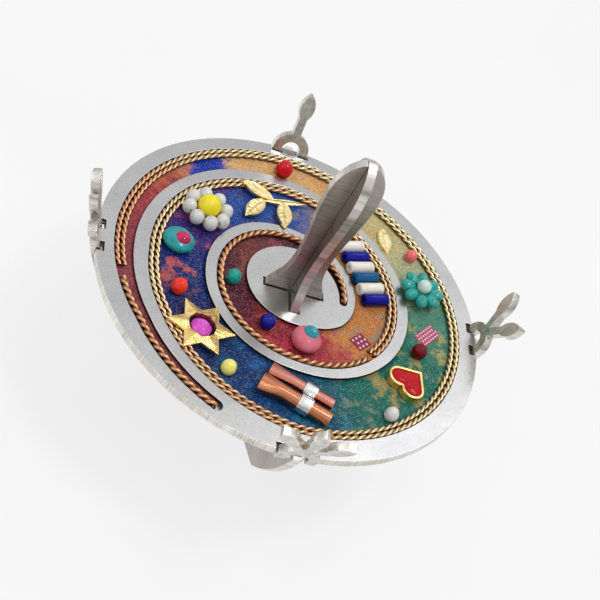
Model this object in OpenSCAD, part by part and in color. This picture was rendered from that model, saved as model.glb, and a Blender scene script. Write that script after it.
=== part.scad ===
// Dreidel of sheet steel. A disc with a spiral channel sits on two crossed plates, which form
// the handle above it and four fins with the spinning tip below it. Painted inlay, twisted wire,
// beads and charms fill the channel, and four leaf marks stand on the rim.
// The tip is at the origin and the spin axis runs up along Z. The mark with three leaves faces -Y.

/* [Disc] */
// Diameter of the disc
disc_d = 70; // [64:1:80]
// Thickness of the round base plate
base_t = 0.6; // [0.4:0.1:1.2]
// Thickness of the plate that the spiral channel is cut in
spiral_t = 0.8; // [0.6:0.1:1.4]
// Thickness of the painted inlay on the floor of the channel
inlay_t = 0.2; // [0.1:0.05:0.4]

/* [Stem plates] */
// Thickness of the sheet of the stem plates and of the play marks
sheet_t = 1.5; // [1:0.1:2]
// Drop from the underside of the disc to the tip
fin_drop = 26.9; // [22:0.1:34]
// Distance of a fin's shoulder from the spin axis
shoulder_r = 25.4; // [20:0.1:30]
// Height of a fin's shoulder above the tip
shoulder_z = 11.2; // [8:0.1:16]
// How far a fin's side bows outward
fin_bow = 1.1; // [0:0.1:2]
// Width of the lip of a fin outside the rim of the disc
lip_w = 1; // [0.6:0.1:2]
// Height of the lip above the underside of the disc
lip_h = 1.1; // [0.5:0.1:1.3]
// Height of the handle above the disc
handle_h = 31; // [28:0.5:40]
// Width of the handle where it leaves the disc
foot_w = 10.6; // [9:0.1:12]
// Height of the upright sides of the foot
foot_h = 1.5; // [0.5:0.1:3]
// Width of the handle at its waist
waist_w = 5.9; // [4:0.1:8]
// Height of the waist above the disc
waist_z = 8; // [5:0.5:12]
// Width of the handle at its widest
bulge_w = 8.8; // [7:0.1:10.4]
// Height of the widest place above the disc
bulge_z = 23.5; // [16:0.5:26]
// Gap round the stem plates and the marks in the slots of the disc
slot_gap = 0.25; // [0.1:0.05:0.4]
// Gap between pieces that fit closely
fit_gap = 0.05; // [0.02:0.01:0.1]

/* [Play marks] */
// Outward lean of the marks in degrees
mark_lean = 20; // [0:1:25]
// Width of the arch that a mark stands on
arch_w = 6.8; // [6.4:0.1:9]
// Width of the legs of the arch
leg_w = 1.7; // [1.2:0.1:1.9]
// Width of the stalk below a leaf
stalk_w = 1.5; // [1:0.1:2]
// Length of the stalk below a leaf
stalk_l = 3.2; // [2.5:0.1:5]
// Length of a leaf of a mark
mark_leaf_l = 5.6; // [4:0.1:7]
// Width of a leaf of a mark
mark_leaf_w = 2.7; // [1.8:0.1:3]

/* [Ropes] */
// Thickness of the single copper rope at both ends of the channel
copper_rope_d = 1.2; // [0.8:0.1:1.6]
// Thickness of each of the two gold ropes that lie side by side
gold_rope_d = 0.9; // [0.6:0.1:1.1]
// Gap between a rope and the wall or rope beside it
rope_gap = 0.08; // [0.04:0.02:0.12]

/* [Beads] */
// Diameter of the red bead
red_d = 3.1; // [2:0.1:3.4]
// Diameter of the salmon bead
salmon_d = 2.2; // [1.6:0.1:2.8]
// Diameter of the garnet bead
garnet_d = 2.7; // [1.8:0.1:3.2]
// Diameter of the white pearl
pearl_d = 2.4; // [1.8:0.1:3]
// Diameter of the yellow bead
yellow_d = 2.5; // [1.8:0.1:3.2]
// Diameter of the coral bead
coral_d = 2.7; // [2:0.1:3.4]
// Diameter of the blue bead
blue_d = 2.7; // [2:0.1:3.4]
// Diameter of the turquoise bead
turquoise_d = 2.5; // [1.8:0.1:2.8]
// Free space at the ends of a bugle bead, between the inner wall and the gold ropes
bugle_end_gap = 0.8; // [0.4:0.1:1.4]
// Diameter of a bugle bead
bugle_d = 2.2; // [1.6:0.05:2.4]
// Diameter of the hole of a bugle bead
bugle_bore_d = 0.8; // [0.4:0.1:1.2]
// Gap between two bugle beads
bugle_gap = 0.2; // [0.1:0.05:0.4]

/* [Flowers] */
// Diameter of the turquoise flower
turquoise_flower_d = 8.6; // [7:0.1:9]
// Diameter of the pale bead in the turquoise flower
pale_d = 2.5; // [1.8:0.1:3]
// Diameter of the pearl flower
pearl_flower_d = 9.2; // [7:0.1:10]
// Rise of the middle of a flower above its petals
eye_rise = 1.4; // [0.2:0.1:2]

/* [Stones] */
// Diameter of the turquoise cabochon
cabochon_d = 5.6; // [4:0.1:5.8]
// Height of the turquoise cabochon
cabochon_h = 2.4; // [1.8:0.1:3]
// Diameter of the magenta stone on the turquoise cabochon
ruby_d = 2.7; // [1.6:0.1:3]
// Diameter of the pink cabochon
pink_d = 5.2; // [4:0.1:5.4]
// Height of the pink cabochon
pink_h = 3; // [2.2:0.1:3.6]
// Diameter of the cut turquoise stone on the pink cabochon
crystal_d = 2.7; // [1.6:0.1:3]
// Depth of the pockets that the two small stones are set in
pocket_depth = 0.6; // [0.4:0.1:0.9]
// Height of the small stones above the cabochons
stone_rise = 0.5; // [0.3:0.1:0.9]

/* [Charms] */
// Reach of the star's points from its middle
star_r = 5.6; // [4.6:0.1:6.2]
// Reach of the star's inner corners from its middle
star_inner_r = 3.3; // [3:0.1:3.8]
// Thickness of the star
star_t = 1; // [0.6:0.1:1.6]
// Diameter of the hole in the star
star_hole_d = 4.8; // [3.8:0.1:5.2]
// Gap between the star's hole and the stone in it
star_stone_gap = 0.3; // [0.1:0.05:0.5]
// Diameter of each lobe of the heart
heart_lobe_d = 4.2; // [3:0.1:4.6]
// Thickness of the heart's frame
heart_rim_t = 0.5; // [0.4:0.1:0.9]
// Height of the heart's frame
heart_h = 1.5; // [1:0.1:2]
// Depth of the red enamel below the edge of the frame
heart_recess = 0.4; // [0.2:0.1:0.8]
// Length of the single gold leaf
leaf_l = 6.2; // [4:0.1:6.8]
// Width of the single gold leaf
leaf_w = 2.6; // [1.4:0.1:3]
// Thickness of the gold leaves
leaf_t = 0.4; // [0.3:0.05:0.8]
// Free length of rope between the pearl flower and the sprig
sprig_space = 5.2; // [3:0.1:7]
// Length of the sprig's stem
sprig_l = 9.8; // [7:0.1:11]
// Width of the sprig's stem
sprig_w = 1.2; // [0.6:0.1:1.4]
// Length of each leaf of the sprig
sprig_leaf_l = 6.4; // [4:0.1:7]
// Width of each leaf of the sprig
sprig_leaf_w = 2.8; // [1.6:0.1:3]
// Length of the long copper tube
long_tube_l = 12.6; // [10:0.1:13.4]
// Diameter of the long copper tube
long_tube_d = 2.6; // [1.8:0.1:2.8]
// Length of the short copper tube
short_tube_l = 11.6; // [9:0.1:12.4]
// Diameter of the short copper tube
short_tube_d = 2.2; // [1.6:0.1:2.4]
// Wall of the copper tubes
tube_wall = 0.3; // [0.2:0.05:0.5]
// Free space between the two copper tubes
tube_space = 1; // [0.8:0.1:2]
// Width of the silver bands on the tubes
band_w = 2.2; // [1.4:0.1:3]
// Thickness of the silver bands
band_t = 0.25; // [0.15:0.05:0.3]
// Length of the pale dotted patch
pale_patch_l = 5; // [3:0.1:6]
// Width of the pale dotted patch
pale_patch_w = 2.7; // [1.4:0.1:3]
// Length of the dark dotted patch
dark_patch_l = 3.2; // [2.2:0.1:3.8]
// Width of the dark dotted patch
dark_patch_w = 2.8; // [2:0.1:3.4]
// Thickness of the dotted patches
patch_t = 0.15; // [0.1:0.05:0.3]

/* [Hidden] */
$fn = 64;

// Heights above the tip
disc_r = disc_d / 2;
base_top = fin_drop + base_t;
disc_top = base_top + spiral_t;
floor_z = base_top + inlay_t;
lap_z = (disc_top + handle_h) / 2;
overrun = disc_d;

// Points along the curved stretches of an outline
curve_steps = 16;
dome_steps = 12;

// The channel turns clockwise from its outer end, which lies at this angle from +X
channel_start = 245;
channel_end = 965;
full_turn = 360;
turn_steps = 72;
turn_step = full_turn / turn_steps;

// Walls of the channel: turn in degrees from the outer end, and share of the disc's radius
outer_wall_shares = [
    [0, 0.954], [35, 0.906], [155, 0.931], [245, 0.906], [335, 0.88], [395, 0.769],
    [425, 0.74], [470, 0.74], [525, 0.691], [548, 0.643], [605, 0.56], [695, 0.457],
    [785, 0.397], [845, 0.38], [875, 0.366], [915, 0.331], [965, 0.286]
];
inner_wall_shares = [
    [0, 0.891], [35, 0.834], [65, 0.814], [125, 0.789], [155, 0.757], [188, 0.686],
    [245, 0.62], [335, 0.511], [395, 0.474], [425, 0.454], [485, 0.431], [525, 0.4],
    [560, 0.371], [605, 0.329], [635, 0.297], [665, 0.246], [695, 0.226], [725, 0.226],
    [785, 0.243], [845, 0.266], [885, 0.28], [915, 0.269], [965, 0.246]
];

// Turns at which the ropes end
copper_rope_outer_turns = [0, 50];
gold_rope_turns = [55, 640];
copper_rope_inner_turns = [645, 965];
rope_sides = 8;
rope_flat_share = cos(180 / rope_sides);
rope_band = 2 * (gold_rope_d + rope_gap);
rope_top = gold_rope_d * rope_flat_share;

// Places of the pieces: turn in degrees, and share of the free floor from the inner wall outward
red_at_shares = [152, 0.42];
leaf_at_shares = [199.6, 0.42];
salmon_at_shares = [210.6, 0.76];
turquoise_flower_at_shares = [228.4, 0.41];
pale_patch_at_shares = [248.6, 0.5];
garnet_at_shares = [261.6, 0.36];
heart_at_shares = [279.6, 0.52];
pearl_at_shares = [298, 0.87];
tubes_at_shares = [335, 0.5];
yellow_at_shares = [363.8, 0.75];
star_at_shares = [383.6, 0.6];
coral_at_shares = [405.7, 0.66];
cabochon_at_shares = [434.2, 0.66];
pearl_flower_at_shares = [460.8, 0.54];
bugles_at_shares = [573.6, 0.44];
dark_patch_at_shares = [635.8, 0.68];
pink_at_shares = [685.8, 0.52];
blue_at_shares = [722.8, 0.55];
turquoise_at_shares = [777, 0.75];

// Directions of the pieces in degrees, from the outward direction at their place
leaf_turn = -127;
pale_patch_turn = 52;
heart_turn = 80;
tubes_turn = 68.5;
star_turn = 18.6;
sprig_turn = 112;
bugles_turn = -11.5;
dark_patch_turn = 75;

// Shape of the beads: where the flat seat cuts them, and how high a lying piece is lifted
bead_seat_angle = -45;
lying_share = 0.92;

// Petals of the two flowers
petal_count = 8;
petal_half_angle = 180 / petal_count;

// Root of the sprig, as a share of the free floor from the inner wall outward
sprig_root_share = 0.89;

// Leaves of the sprig: share of the stem at which each grows, and its turn from the outward direction
sprig_leaf_shares = [[0.82, 73], [1, 154], [0.62, -170]];

// Colours of the bugle beads in their row
bugle_colours = ["ivory", "mediumblue", "ivory", "steelblue", "ivory", "mediumblue"];
bugle_count = len(bugle_colours);

// Offset of a small stone's pocket outwards and sideways, as shares of the cabochon's diameter
pocket_shift_shares = [-0.07, 0.06];

// Middle of the heart along its sides, as a share of a lobe's diameter
heart_middle_share = 0.6;

// Points of the star, and the share of a tube at which its band and its flare lie
star_points = 6;
band_at_share = 0.13;
flare_share = 0.35;

// Spread of the leaves of a mark in degrees, for one to four leaves
mark_fan = [0, 58, 44, 37];

// Depth of the marks' notches in the rim, which the lean of the sheet widens
disc_t = base_t + spiral_t;
notch_reach = sheet_t / 2 / cos(mark_lean) + disc_t * tan(mark_lean) + slot_gap;
foot_off = (arch_w - leg_w) / 2;

function outer_wall(turn) = disc_r * lookup(turn, outer_wall_shares);
function inner_wall(turn) = disc_r * lookup(turn, inner_wall_shares);
function middle(turn) = (outer_wall(turn) + inner_wall(turn)) / 2;
function at_turn(turn, r) = [r * cos(channel_start - turn), r * sin(channel_start - turn)];
function floor_w(turn) = outer_wall(turn) - rope_band - inner_wall(turn);
function floor_r(at_shares) = inner_wall(at_shares[0]) + at_shares[1] * floor_w(at_shares[0]);

// Half width of the handle at a height above the disc
function handle_half(z) =
    z <= foot_h ? foot_w / 2
    : z <= waist_z ? waist_w / 2 + (foot_w - waist_w) / 2 * hollow((waist_z - z) / (waist_z - foot_h))
    : z <= bulge_z ? waist_w / 2 + (bulge_w - waist_w) / 2 * ease((z - waist_z) / (bulge_z - waist_z))
    : bulge_w / 2 * round_off((z - bulge_z) / (handle_h - bulge_z));
function round_off(s) = sqrt(max(0, 1 - s * s));
function hollow(s) = 1 - round_off(s);
function ease(s) = (1 - cos(180 * s)) / 2;

// Right half of a stem plate's outline, from the top of the handle down to the tip
handle_points = [
    for (i = [0 : 2 * curve_steps])
        let (z = handle_h * (1 - pow(i / (2 * curve_steps), 2)))
            [handle_half(z), disc_top + z]
];
lip_r = disc_r + fit_gap;
lip_corner = [lip_r + lip_w, fin_drop + lip_h];
shoulder = [shoulder_r, shoulder_z];
fin_side = shoulder - lip_corner;
fin_out = [-fin_side[1], fin_side[0]] / norm(fin_side);
fin_points = [
    for (i = [0 : curve_steps])
        let (s = i / curve_steps)
            lip_corner + s * fin_side + 4 * fin_bow * s * (1 - s) * fin_out
];
half_outline = concat(
    handle_points,
    [[foot_w / 2, fin_drop], [lip_r, fin_drop], [lip_r, lip_corner[1]]],
    fin_points
);
half_count = len(half_outline);
left_outline = [for (i = [half_count - 1 : -1 : 1]) [-half_outline[i][0], half_outline[i][1]]];

// Least gap between two turns of the gold rope
echo(least_rope_gap = min([
    for (turn = [gold_rope_turns[0] : turn_step : gold_rope_turns[1] - full_turn])
        outer_wall(turn) - rope_band - outer_wall(turn + full_turn)
]));

// Half circle that closes an end of the channel, on the side that the sign gives
function end_arc(turn, side, gap) = [
    for (i = [0 : curve_steps])
        let (a = channel_start - turn + side * 180 * i / curve_steps)
            at_turn(turn, middle(turn)) + ((outer_wall(turn) - inner_wall(turn)) / 2 - gap) * [cos(a), sin(a)]
];

// Channel's outline in plan, drawn in by a gap all round, with round ends
module channel(gap) {
    start_arc = end_arc(0, 1, gap);
    polygon(concat(
        [
            for (turn = [turn_step : turn_step : channel_end - turn_step])
                at_turn(turn, outer_wall(turn) - gap)
        ],
        end_arc(channel_end, -1, gap),
        [
            for (turn = [channel_end - turn_step : -turn_step : turn_step])
                at_turn(turn, inner_wall(turn) + gap)
        ],
        [for (i = [curve_steps : -1 : 0]) start_arc[i]]
    ));
}

// Slots for the stem plates and notches for the marks' feet, in plan
module disc_slots() {
    for (turn = [0, 90])
        rotate(turn) square([foot_w + 2 * slot_gap, sheet_t + 2 * slot_gap], center = true);
    for (turn = [0 : 90 : 270], side = [-1, 1])
        rotate(turn) translate([disc_r - notch_reach, side * foot_off - leg_w / 2 - slot_gap])
            square([overrun, leg_w + 2 * slot_gap]);
}

module base_disc() {
    color("silver") translate([0, 0, fin_drop]) linear_extrude(base_t) difference() {
        circle(d = disc_d, $fn = 180);
        disc_slots();
    }
}

module spiral_plate() {
    color("gainsboro") translate([0, 0, base_top]) linear_extrude(spiral_t) difference() {
        circle(d = disc_d, $fn = 180);
        disc_slots();
        channel(0);
    }
}

module enamel_inlay() {
    color("teal") translate([0, 0, base_top]) linear_extrude(inlay_t) channel(fit_gap);
}

// Stem plate in the XZ plane, with a slot along the axis from one height to another
module stem_plate(slot_from, slot_to) {
    slot_w = sheet_t + 2 * fit_gap;
    rotate([90, 0, 0]) linear_extrude(sheet_t, center = true) difference() {
        polygon(concat(half_outline, [[0, 0]], left_outline));
        translate([-slot_w / 2, slot_from]) square([slot_w, slot_to - slot_from]);
    }
}

module stem_plate_across() {
    color("darkgray") stem_plate(lap_z, lap_z + overrun);
}

module stem_plate_along() {
    color("darkgray") rotate(90) stem_plate(-overrun, lap_z);
}

// Leaf that starts at the origin and points along +X, as the overlap of two circles
module leaf_outline(l, w) {
    bend_r = (l * l + w * w) / (4 * w);
    translate([l / 2, 0]) intersection() {
        translate([0, bend_r - w / 2]) circle(r = bend_r, $fn = 96);
        translate([0, w / 2 - bend_r]) circle(r = bend_r, $fn = 96);
    }
}

// Outline of a mark: an arch on two feet, and a fan of leaves that counts from one to four
module mark_outline(count) {
    foot_drop = disc_t / cos(mark_lean);
    difference() {
        circle(d = arch_w);
        circle(d = arch_w - 2 * leg_w);
        translate([-overrun / 2, -overrun]) square(overrun);
    }
    for (side = [-1, 1])
        translate([side * foot_off - leg_w / 2, -foot_drop]) square([leg_w, foot_drop]);
    for (i = [0 : count - 1])
        translate([0, arch_w / 2 - leg_w / 2]) rotate(90 + mark_fan[count - 1] * (i - (count - 1) / 2)) {
            translate([0, -stalk_w / 2]) square([stalk_l + stalk_w, stalk_w]);
            translate([stalk_l, 0]) leaf_outline(mark_leaf_l, mark_leaf_w);
        }
}

// Mark with a number of leaves that stands on the rim at an angle and leans outward
module mark(count, angle) {
    rotate(angle) translate([disc_r, 0, disc_top]) rotate([0, mark_lean, 0]) rotate([90, 0, 90])
        linear_extrude(sheet_t, center = true) mark_outline(count);
}

module mark_one() {
    color("lightgray") mark(1, 90);
}

module mark_two() {
    color("lightgray") mark(2, 0);
}

module mark_three() {
    color("lightgray") mark(3, -90);
}

module mark_four() {
    color("lightgray") mark(4, 180);
}

// Rope that lies on the inlay at a distance from the outer wall, flat below and above
module rope(turns, d, wall_gap) {
    steps = round((turns[1] - turns[0]) / turn_step);
    rings = [for (i = [0 : steps]) turns[0] + (turns[1] - turns[0]) * i / steps];
    points = [
        for (turn = rings, k = [0 : rope_sides - 1])
            let (a = (2 * k + 1) * 180 / rope_sides, r = outer_wall(turn) - wall_gap - d / 2 + d / 2 * cos(a))
                concat(at_turn(turn, r), [d / 2 * (sin(a) + rope_flat_share)])
    ];
    sides = [
        for (i = [0 : steps - 1], k = [0 : rope_sides - 1])
            let (a = i * rope_sides + k, b = i * rope_sides + (k + 1) % rope_sides)
                each [[a, b, b + rope_sides], [a, b + rope_sides, a + rope_sides]]
    ];
    ends = [
        [for (k = [rope_sides - 1 : -1 : 0]) k],
        [for (k = [0 : rope_sides - 1]) steps * rope_sides + k]
    ];
    translate([0, 0, floor_z]) polyhedron(points, concat(sides, ends));
}

module copper_rope_outer() {
    color("peru") rope(copper_rope_outer_turns, copper_rope_d, rope_gap);
}

module copper_rope_inner() {
    color("peru") rope(copper_rope_inner_turns, copper_rope_d, rope_gap);
}

module gold_rope_wall() {
    color("gold") rope(gold_rope_turns, gold_rope_d, rope_gap);
}

module gold_rope_second() {
    color("gold") rope(gold_rope_turns, gold_rope_d, gold_rope_d + 2 * rope_gap);
}

// Puts a piece on the floor of the channel, with +X outward from the spin axis
module on_floor(at_shares) {
    translate(concat(at_turn(at_shares[0], floor_r(at_shares)), floor_z))
        rotate(channel_start - at_shares[0]) children();
}

// Round bead or dome of a width and a height, whose seat lies at an angle on its side
module pebble(d, h, seat_angle) {
    lift = 1 - sin(seat_angle);
    rotate_extrude() polygon(concat([[0, 0]], [
        for (i = [0 : dome_steps])
            let (a = seat_angle + (90 - seat_angle) * i / dome_steps)
                [d / 2 * cos(a), h * (sin(a) - sin(seat_angle)) / lift]
    ]));
}

// Round bead on the floor, a little flat below
module bead(d, at_shares) {
    on_floor(at_shares) pebble(d, d, bead_seat_angle);
}

module red_bead() {
    color("crimson") bead(red_d, red_at_shares);
}

module salmon_bead() {
    color("salmon") bead(salmon_d, salmon_at_shares);
}

module garnet_bead() {
    color("darkred") bead(garnet_d, garnet_at_shares);
}

module white_pearl() {
    color("white") bead(pearl_d, pearl_at_shares);
}

module yellow_bead() {
    color("khaki") bead(yellow_d, yellow_at_shares);
}

module coral_bead() {
    color("orangered") bead(coral_d, coral_at_shares);
}

module blue_bead() {
    color("navy") bead(blue_d, blue_at_shares);
}

module turquoise_bead() {
    color("mediumturquoise") bead(turquoise_d, turquoise_at_shares);
}

// Keeps what lies above the floor
module above_floor() {
    intersection() {
        children();
        translate([-overrun / 2, -overrun / 2, 0]) cube(overrun);
    }
}

// Round bar or tube that lies along X on the floor, a little flat below
module lying_tube(l, d, bore_d) {
    above_floor() translate([0, 0, d / 2 * lying_share]) rotate([0, 90, 0]) difference() {
        cylinder(d = d, h = l, center = true);
        cylinder(d = bore_d, h = l + overrun, center = true);
    }
}

// Oval bead that lies along X on the floor, a little flat below
module lying_bean(l, d) {
    above_floor() translate([0, 0, d / 2 * lying_share]) rotate([0, 90, 0]) rotate_extrude() polygon([
        for (k = [0 : dome_steps])
            let (a = 180 * k / dome_steps - 90) [d / 2 * cos(a), l / 2 * sin(a)]
    ]);
}

// Bugle beads as long as the channel leaves free at the ends of their row
bugle_row_half = (bugle_count * bugle_d + (bugle_count - 1) * bugle_gap) / 2;
bugle_rope_r = outer_wall(bugles_at_shares[0]) - rope_band;
bugle_free_r = sqrt(bugle_rope_r * bugle_rope_r - bugle_row_half * bugle_row_half);
bugle_l = bugle_free_r - inner_wall(bugles_at_shares[0]) - bugle_end_gap;

// Bugle beads of one colour in the row, which runs across their own direction
module bugles(colour) {
    color(colour) for (i = [0 : bugle_count - 1])
        if (bugle_colours[i] == colour)
            on_floor(bugles_at_shares) rotate(bugles_turn)
                translate([0, ((bugle_count - 1) / 2 - i) * (bugle_d + bugle_gap), 0])
                    lying_tube(bugle_l, bugle_d, bugle_bore_d);
}

module white_bugles() {
    bugles("ivory");
}

module blue_bugles() {
    bugles("mediumblue");
}

module teal_bugle() {
    bugles("steelblue");
}

// Long petals round the pale bead, as wide as their ring leaves room for, level with the rope's top
petal_reach = turquoise_flower_d / 2;
petal_l = petal_reach - pale_d / 2 - fit_gap;
petal_r = petal_reach - petal_l / 2;
petal_w = 2 * tan(petal_half_angle) * sqrt(petal_r * petal_r - petal_l * petal_l / 4) - 2 * fit_gap;

module turquoise_petals() {
    color("mediumturquoise") for (i = [0 : petal_count - 1])
        on_floor(turquoise_flower_at_shares) rotate((2 * i + 1) * petal_half_angle)
            translate([petal_r, 0, rope_top]) lying_bean(petal_l, petal_w);
}

// Middle of the turquoise flower, which stands on the floor and holds the petals
module turquoise_flower_eye() {
    color("azure") on_floor(turquoise_flower_at_shares)
        pebble(pale_d, rope_top + petal_w + eye_rise, bead_seat_angle);
}

// Ring of pearls that touch each other, of which the outer ones rest on the gold rope
pearl_ring_r = pearl_flower_d / 2 / (1 + sin(petal_half_angle));
ring_pearl_d = pearl_flower_d - 2 * pearl_ring_r - fit_gap;

module pearl_petals() {
    color("whitesmoke") for (i = [0 : petal_count - 1])
        on_floor(pearl_flower_at_shares) rotate(2 * i * petal_half_angle)
            translate([pearl_ring_r, 0, rope_top]) pebble(ring_pearl_d, ring_pearl_d, bead_seat_angle);
}

// Middle of the pearl flower, which stands on the floor and holds the pearls
module pearl_flower_eye() {
    eye_d = 2 * pearl_ring_r - ring_pearl_d - 2 * fit_gap;
    color("gold") on_floor(pearl_flower_at_shares)
        pebble(eye_d, rope_top + ring_pearl_d + eye_rise, bead_seat_angle);
}

// Place of the pocket on a cabochon, a little off its middle, at the pocket's floor
module in_pocket(d, h) {
    translate(concat(d * pocket_shift_shares, h - pocket_depth)) children();
}

// Domed stone with a pocket for a small stone in its top
module cabochon(d, h, stone_d) {
    difference() {
        pebble(d, h, bead_seat_angle);
        in_pocket(d, h) cylinder(d = stone_d + 2 * fit_gap, h = overrun);
    }
}

// Small stone in the pocket of a cabochon, a short cylinder below a dome
module pocket_stone(d, h, stone_d) {
    in_pocket(d, h) {
        cylinder(d = stone_d, h = pocket_depth);
        translate([0, 0, pocket_depth]) pebble(stone_d, stone_rise, 0);
    }
}

module turquoise_cabochon() {
    color("lightseagreen") on_floor(cabochon_at_shares) cabochon(cabochon_d, cabochon_h, ruby_d);
}

module magenta_stone() {
    color("mediumvioletred") on_floor(cabochon_at_shares) pocket_stone(cabochon_d, cabochon_h, ruby_d);
}

module pink_cabochon() {
    color("lightcoral") on_floor(pink_at_shares) cabochon(pink_d, pink_h, crystal_d);
}

module crystal_stone() {
    color("deepskyblue") on_floor(pink_at_shares) pocket_stone(pink_d, pink_h, crystal_d);
}

// Star that rests on the gold rope with its outer points
module star_charm() {
    outline = [
        for (i = [0 : 2 * star_points - 1])
            let (a = 180 * i / star_points, r = i % 2 == 0 ? star_r : star_inner_r) [r * cos(a), r * sin(a)]
    ];
    color("goldenrod") on_floor(star_at_shares) rotate(star_turn) translate([0, 0, rope_top])
        linear_extrude(star_t) difference() {
            polygon(outline);
            circle(d = star_hole_d);
        }
}

// Stone that stands on the floor in the star's hole and ends level with the star
module star_stone() {
    color("magenta") on_floor(star_at_shares) {
        cylinder(d = star_hole_d - 2 * star_stone_gap, h = rope_top);
        translate([0, 0, rope_top]) pebble(star_hole_d - 2 * star_stone_gap, star_t, 0);
    }
}

// Heart whose tip points along +X, drawn in by an inset, with its middle at the origin
module heart_outline(inset) {
    rotate(135) translate([-heart_lobe_d * heart_middle_share, -heart_lobe_d * heart_middle_share])
        difference() {
            union() {
                translate([inset, inset]) square(heart_lobe_d - inset);
                translate([heart_lobe_d / 2, heart_lobe_d]) circle(d = heart_lobe_d - 2 * inset);
                translate([heart_lobe_d, heart_lobe_d / 2]) circle(d = heart_lobe_d - 2 * inset);
            }
            translate([heart_lobe_d, heart_lobe_d]) circle(r = inset + fit_gap);
        }
}

module heart_frame() {
    color("goldenrod") on_floor(heart_at_shares) rotate(heart_turn) linear_extrude(heart_h) difference() {
        heart_outline(0);
        heart_outline(heart_rim_t);
    }
}

module heart_enamel() {
    color("crimson") on_floor(heart_at_shares) rotate(heart_turn) linear_extrude(heart_h - heart_recess)
        heart_outline(heart_rim_t + fit_gap);
}

module gold_leaf() {
    color("gold") on_floor(leaf_at_shares) rotate(leaf_turn) translate([-leaf_l / 2, 0, 0])
        linear_extrude(leaf_t) leaf_outline(leaf_l, leaf_w);
}

// Root of the sprig, so far along the rope that its outer leaf keeps clear of the pearl flower
sprig_rope_r = outer_wall(pearl_flower_at_shares[0]) - rope_band;
sprig_from_flower = pearl_flower_d / 2 + sprig_space + sprig_leaf_l + sprig_l;
sprig_root_turn = pearl_flower_at_shares[0] + sprig_from_flower / sprig_rope_r * 180 / PI;
sprig_at_shares = [sprig_root_turn, sprig_root_share];

// Sprig of three leaves that rests on the gold rope
module leaf_sprig() {
    color("gold") on_floor(sprig_at_shares) translate([0, 0, rope_top]) linear_extrude(leaf_t) {
        rotate(sprig_turn) leaf_outline(sprig_l, sprig_w);
        for (leaf_shares = sprig_leaf_shares)
            rotate(sprig_turn) translate([sprig_l * leaf_shares[0] - sprig_w, 0])
                rotate(leaf_shares[1] - sprig_turn) leaf_outline(sprig_leaf_l, sprig_leaf_w);
    }
}

// Places of the two copper tubes beside each other, with +X along them
tube_step = tube_space + (long_tube_d + short_tube_d) / 2;

module long_tube_place() {
    on_floor(tubes_at_shares) rotate(tubes_turn) translate([0, -tube_step / 2, 0]) children();
}

module short_tube_place() {
    on_floor(tubes_at_shares) rotate(tubes_turn) translate([0, tube_step / 2, 0]) children();
}

// Rolled tube with one flared end, held off the floor by its band
module copper_tube(l, d) {
    bore_d = d - 2 * tube_wall;
    flare_d = (d + 2 * band_t) * lying_share - fit_gap;
    translate([-l / 2, 0, (d / 2 + band_t) * lying_share]) rotate([0, 90, 0]) difference() {
        union() {
            cylinder(d = d, h = l);
            cylinder(d1 = flare_d, d2 = d, h = l * flare_share);
        }
        translate([0, 0, -overrun / 2]) cylinder(d = bore_d, h = l + overrun);
    }
}

// Band round a tube, a little flat where it stands on the floor
module tube_band(l, d) {
    translate([l * band_at_share, 0, 0]) lying_tube(band_w, d + 2 * band_t, d + 2 * fit_gap);
}

module long_copper_tube() {
    color("sienna") long_tube_place() copper_tube(long_tube_l, long_tube_d);
}

module short_copper_tube() {
    color("sienna") short_tube_place() copper_tube(short_tube_l, short_tube_d);
}

module long_tube_band() {
    color("silver") long_tube_place() tube_band(long_tube_l, long_tube_d);
}

module short_tube_band() {
    color("silver") short_tube_place() tube_band(short_tube_l, short_tube_d);
}

// Flat patch on the floor
module patch(at_shares, turn, l, w) {
    on_floor(at_shares) rotate(turn) translate([-l / 2, -w / 2, 0]) cube([l, w, patch_t]);
}

module pale_dotted_patch() {
    color("pink") patch(pale_patch_at_shares, pale_patch_turn, pale_patch_l, pale_patch_w);
}

module dark_dotted_patch() {
    color("mediumvioletred") patch(dark_patch_at_shares, dark_patch_turn, dark_patch_l, dark_patch_w);
}

base_disc();
spiral_plate();
enamel_inlay();
stem_plate_across();
stem_plate_along();
mark_one();
mark_two();
mark_three();
mark_four();
copper_rope_outer();
copper_rope_inner();
gold_rope_wall();
gold_rope_second();
red_bead();
salmon_bead();
garnet_bead();
white_pearl();
yellow_bead();
coral_bead();
blue_bead();
turquoise_bead();
white_bugles();
blue_bugles();
teal_bugle();
turquoise_petals();
turquoise_flower_eye();
pearl_petals();
pearl_flower_eye();
turquoise_cabochon();
magenta_stone();
pink_cabochon();
crystal_stone();
star_charm();
star_stone();
heart_frame();
heart_enamel();
gold_leaf();
leaf_sprig();
long_copper_tube();
short_copper_tube();
long_tube_band();
short_tube_band();
pale_dotted_patch();
dark_dotted_patch();
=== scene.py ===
# Looks of a sheet-steel dreidel: plates, paint, wire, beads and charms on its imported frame
import math

import bmesh
import bpy
from mathutils import Matrix, Vector, noise


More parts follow.
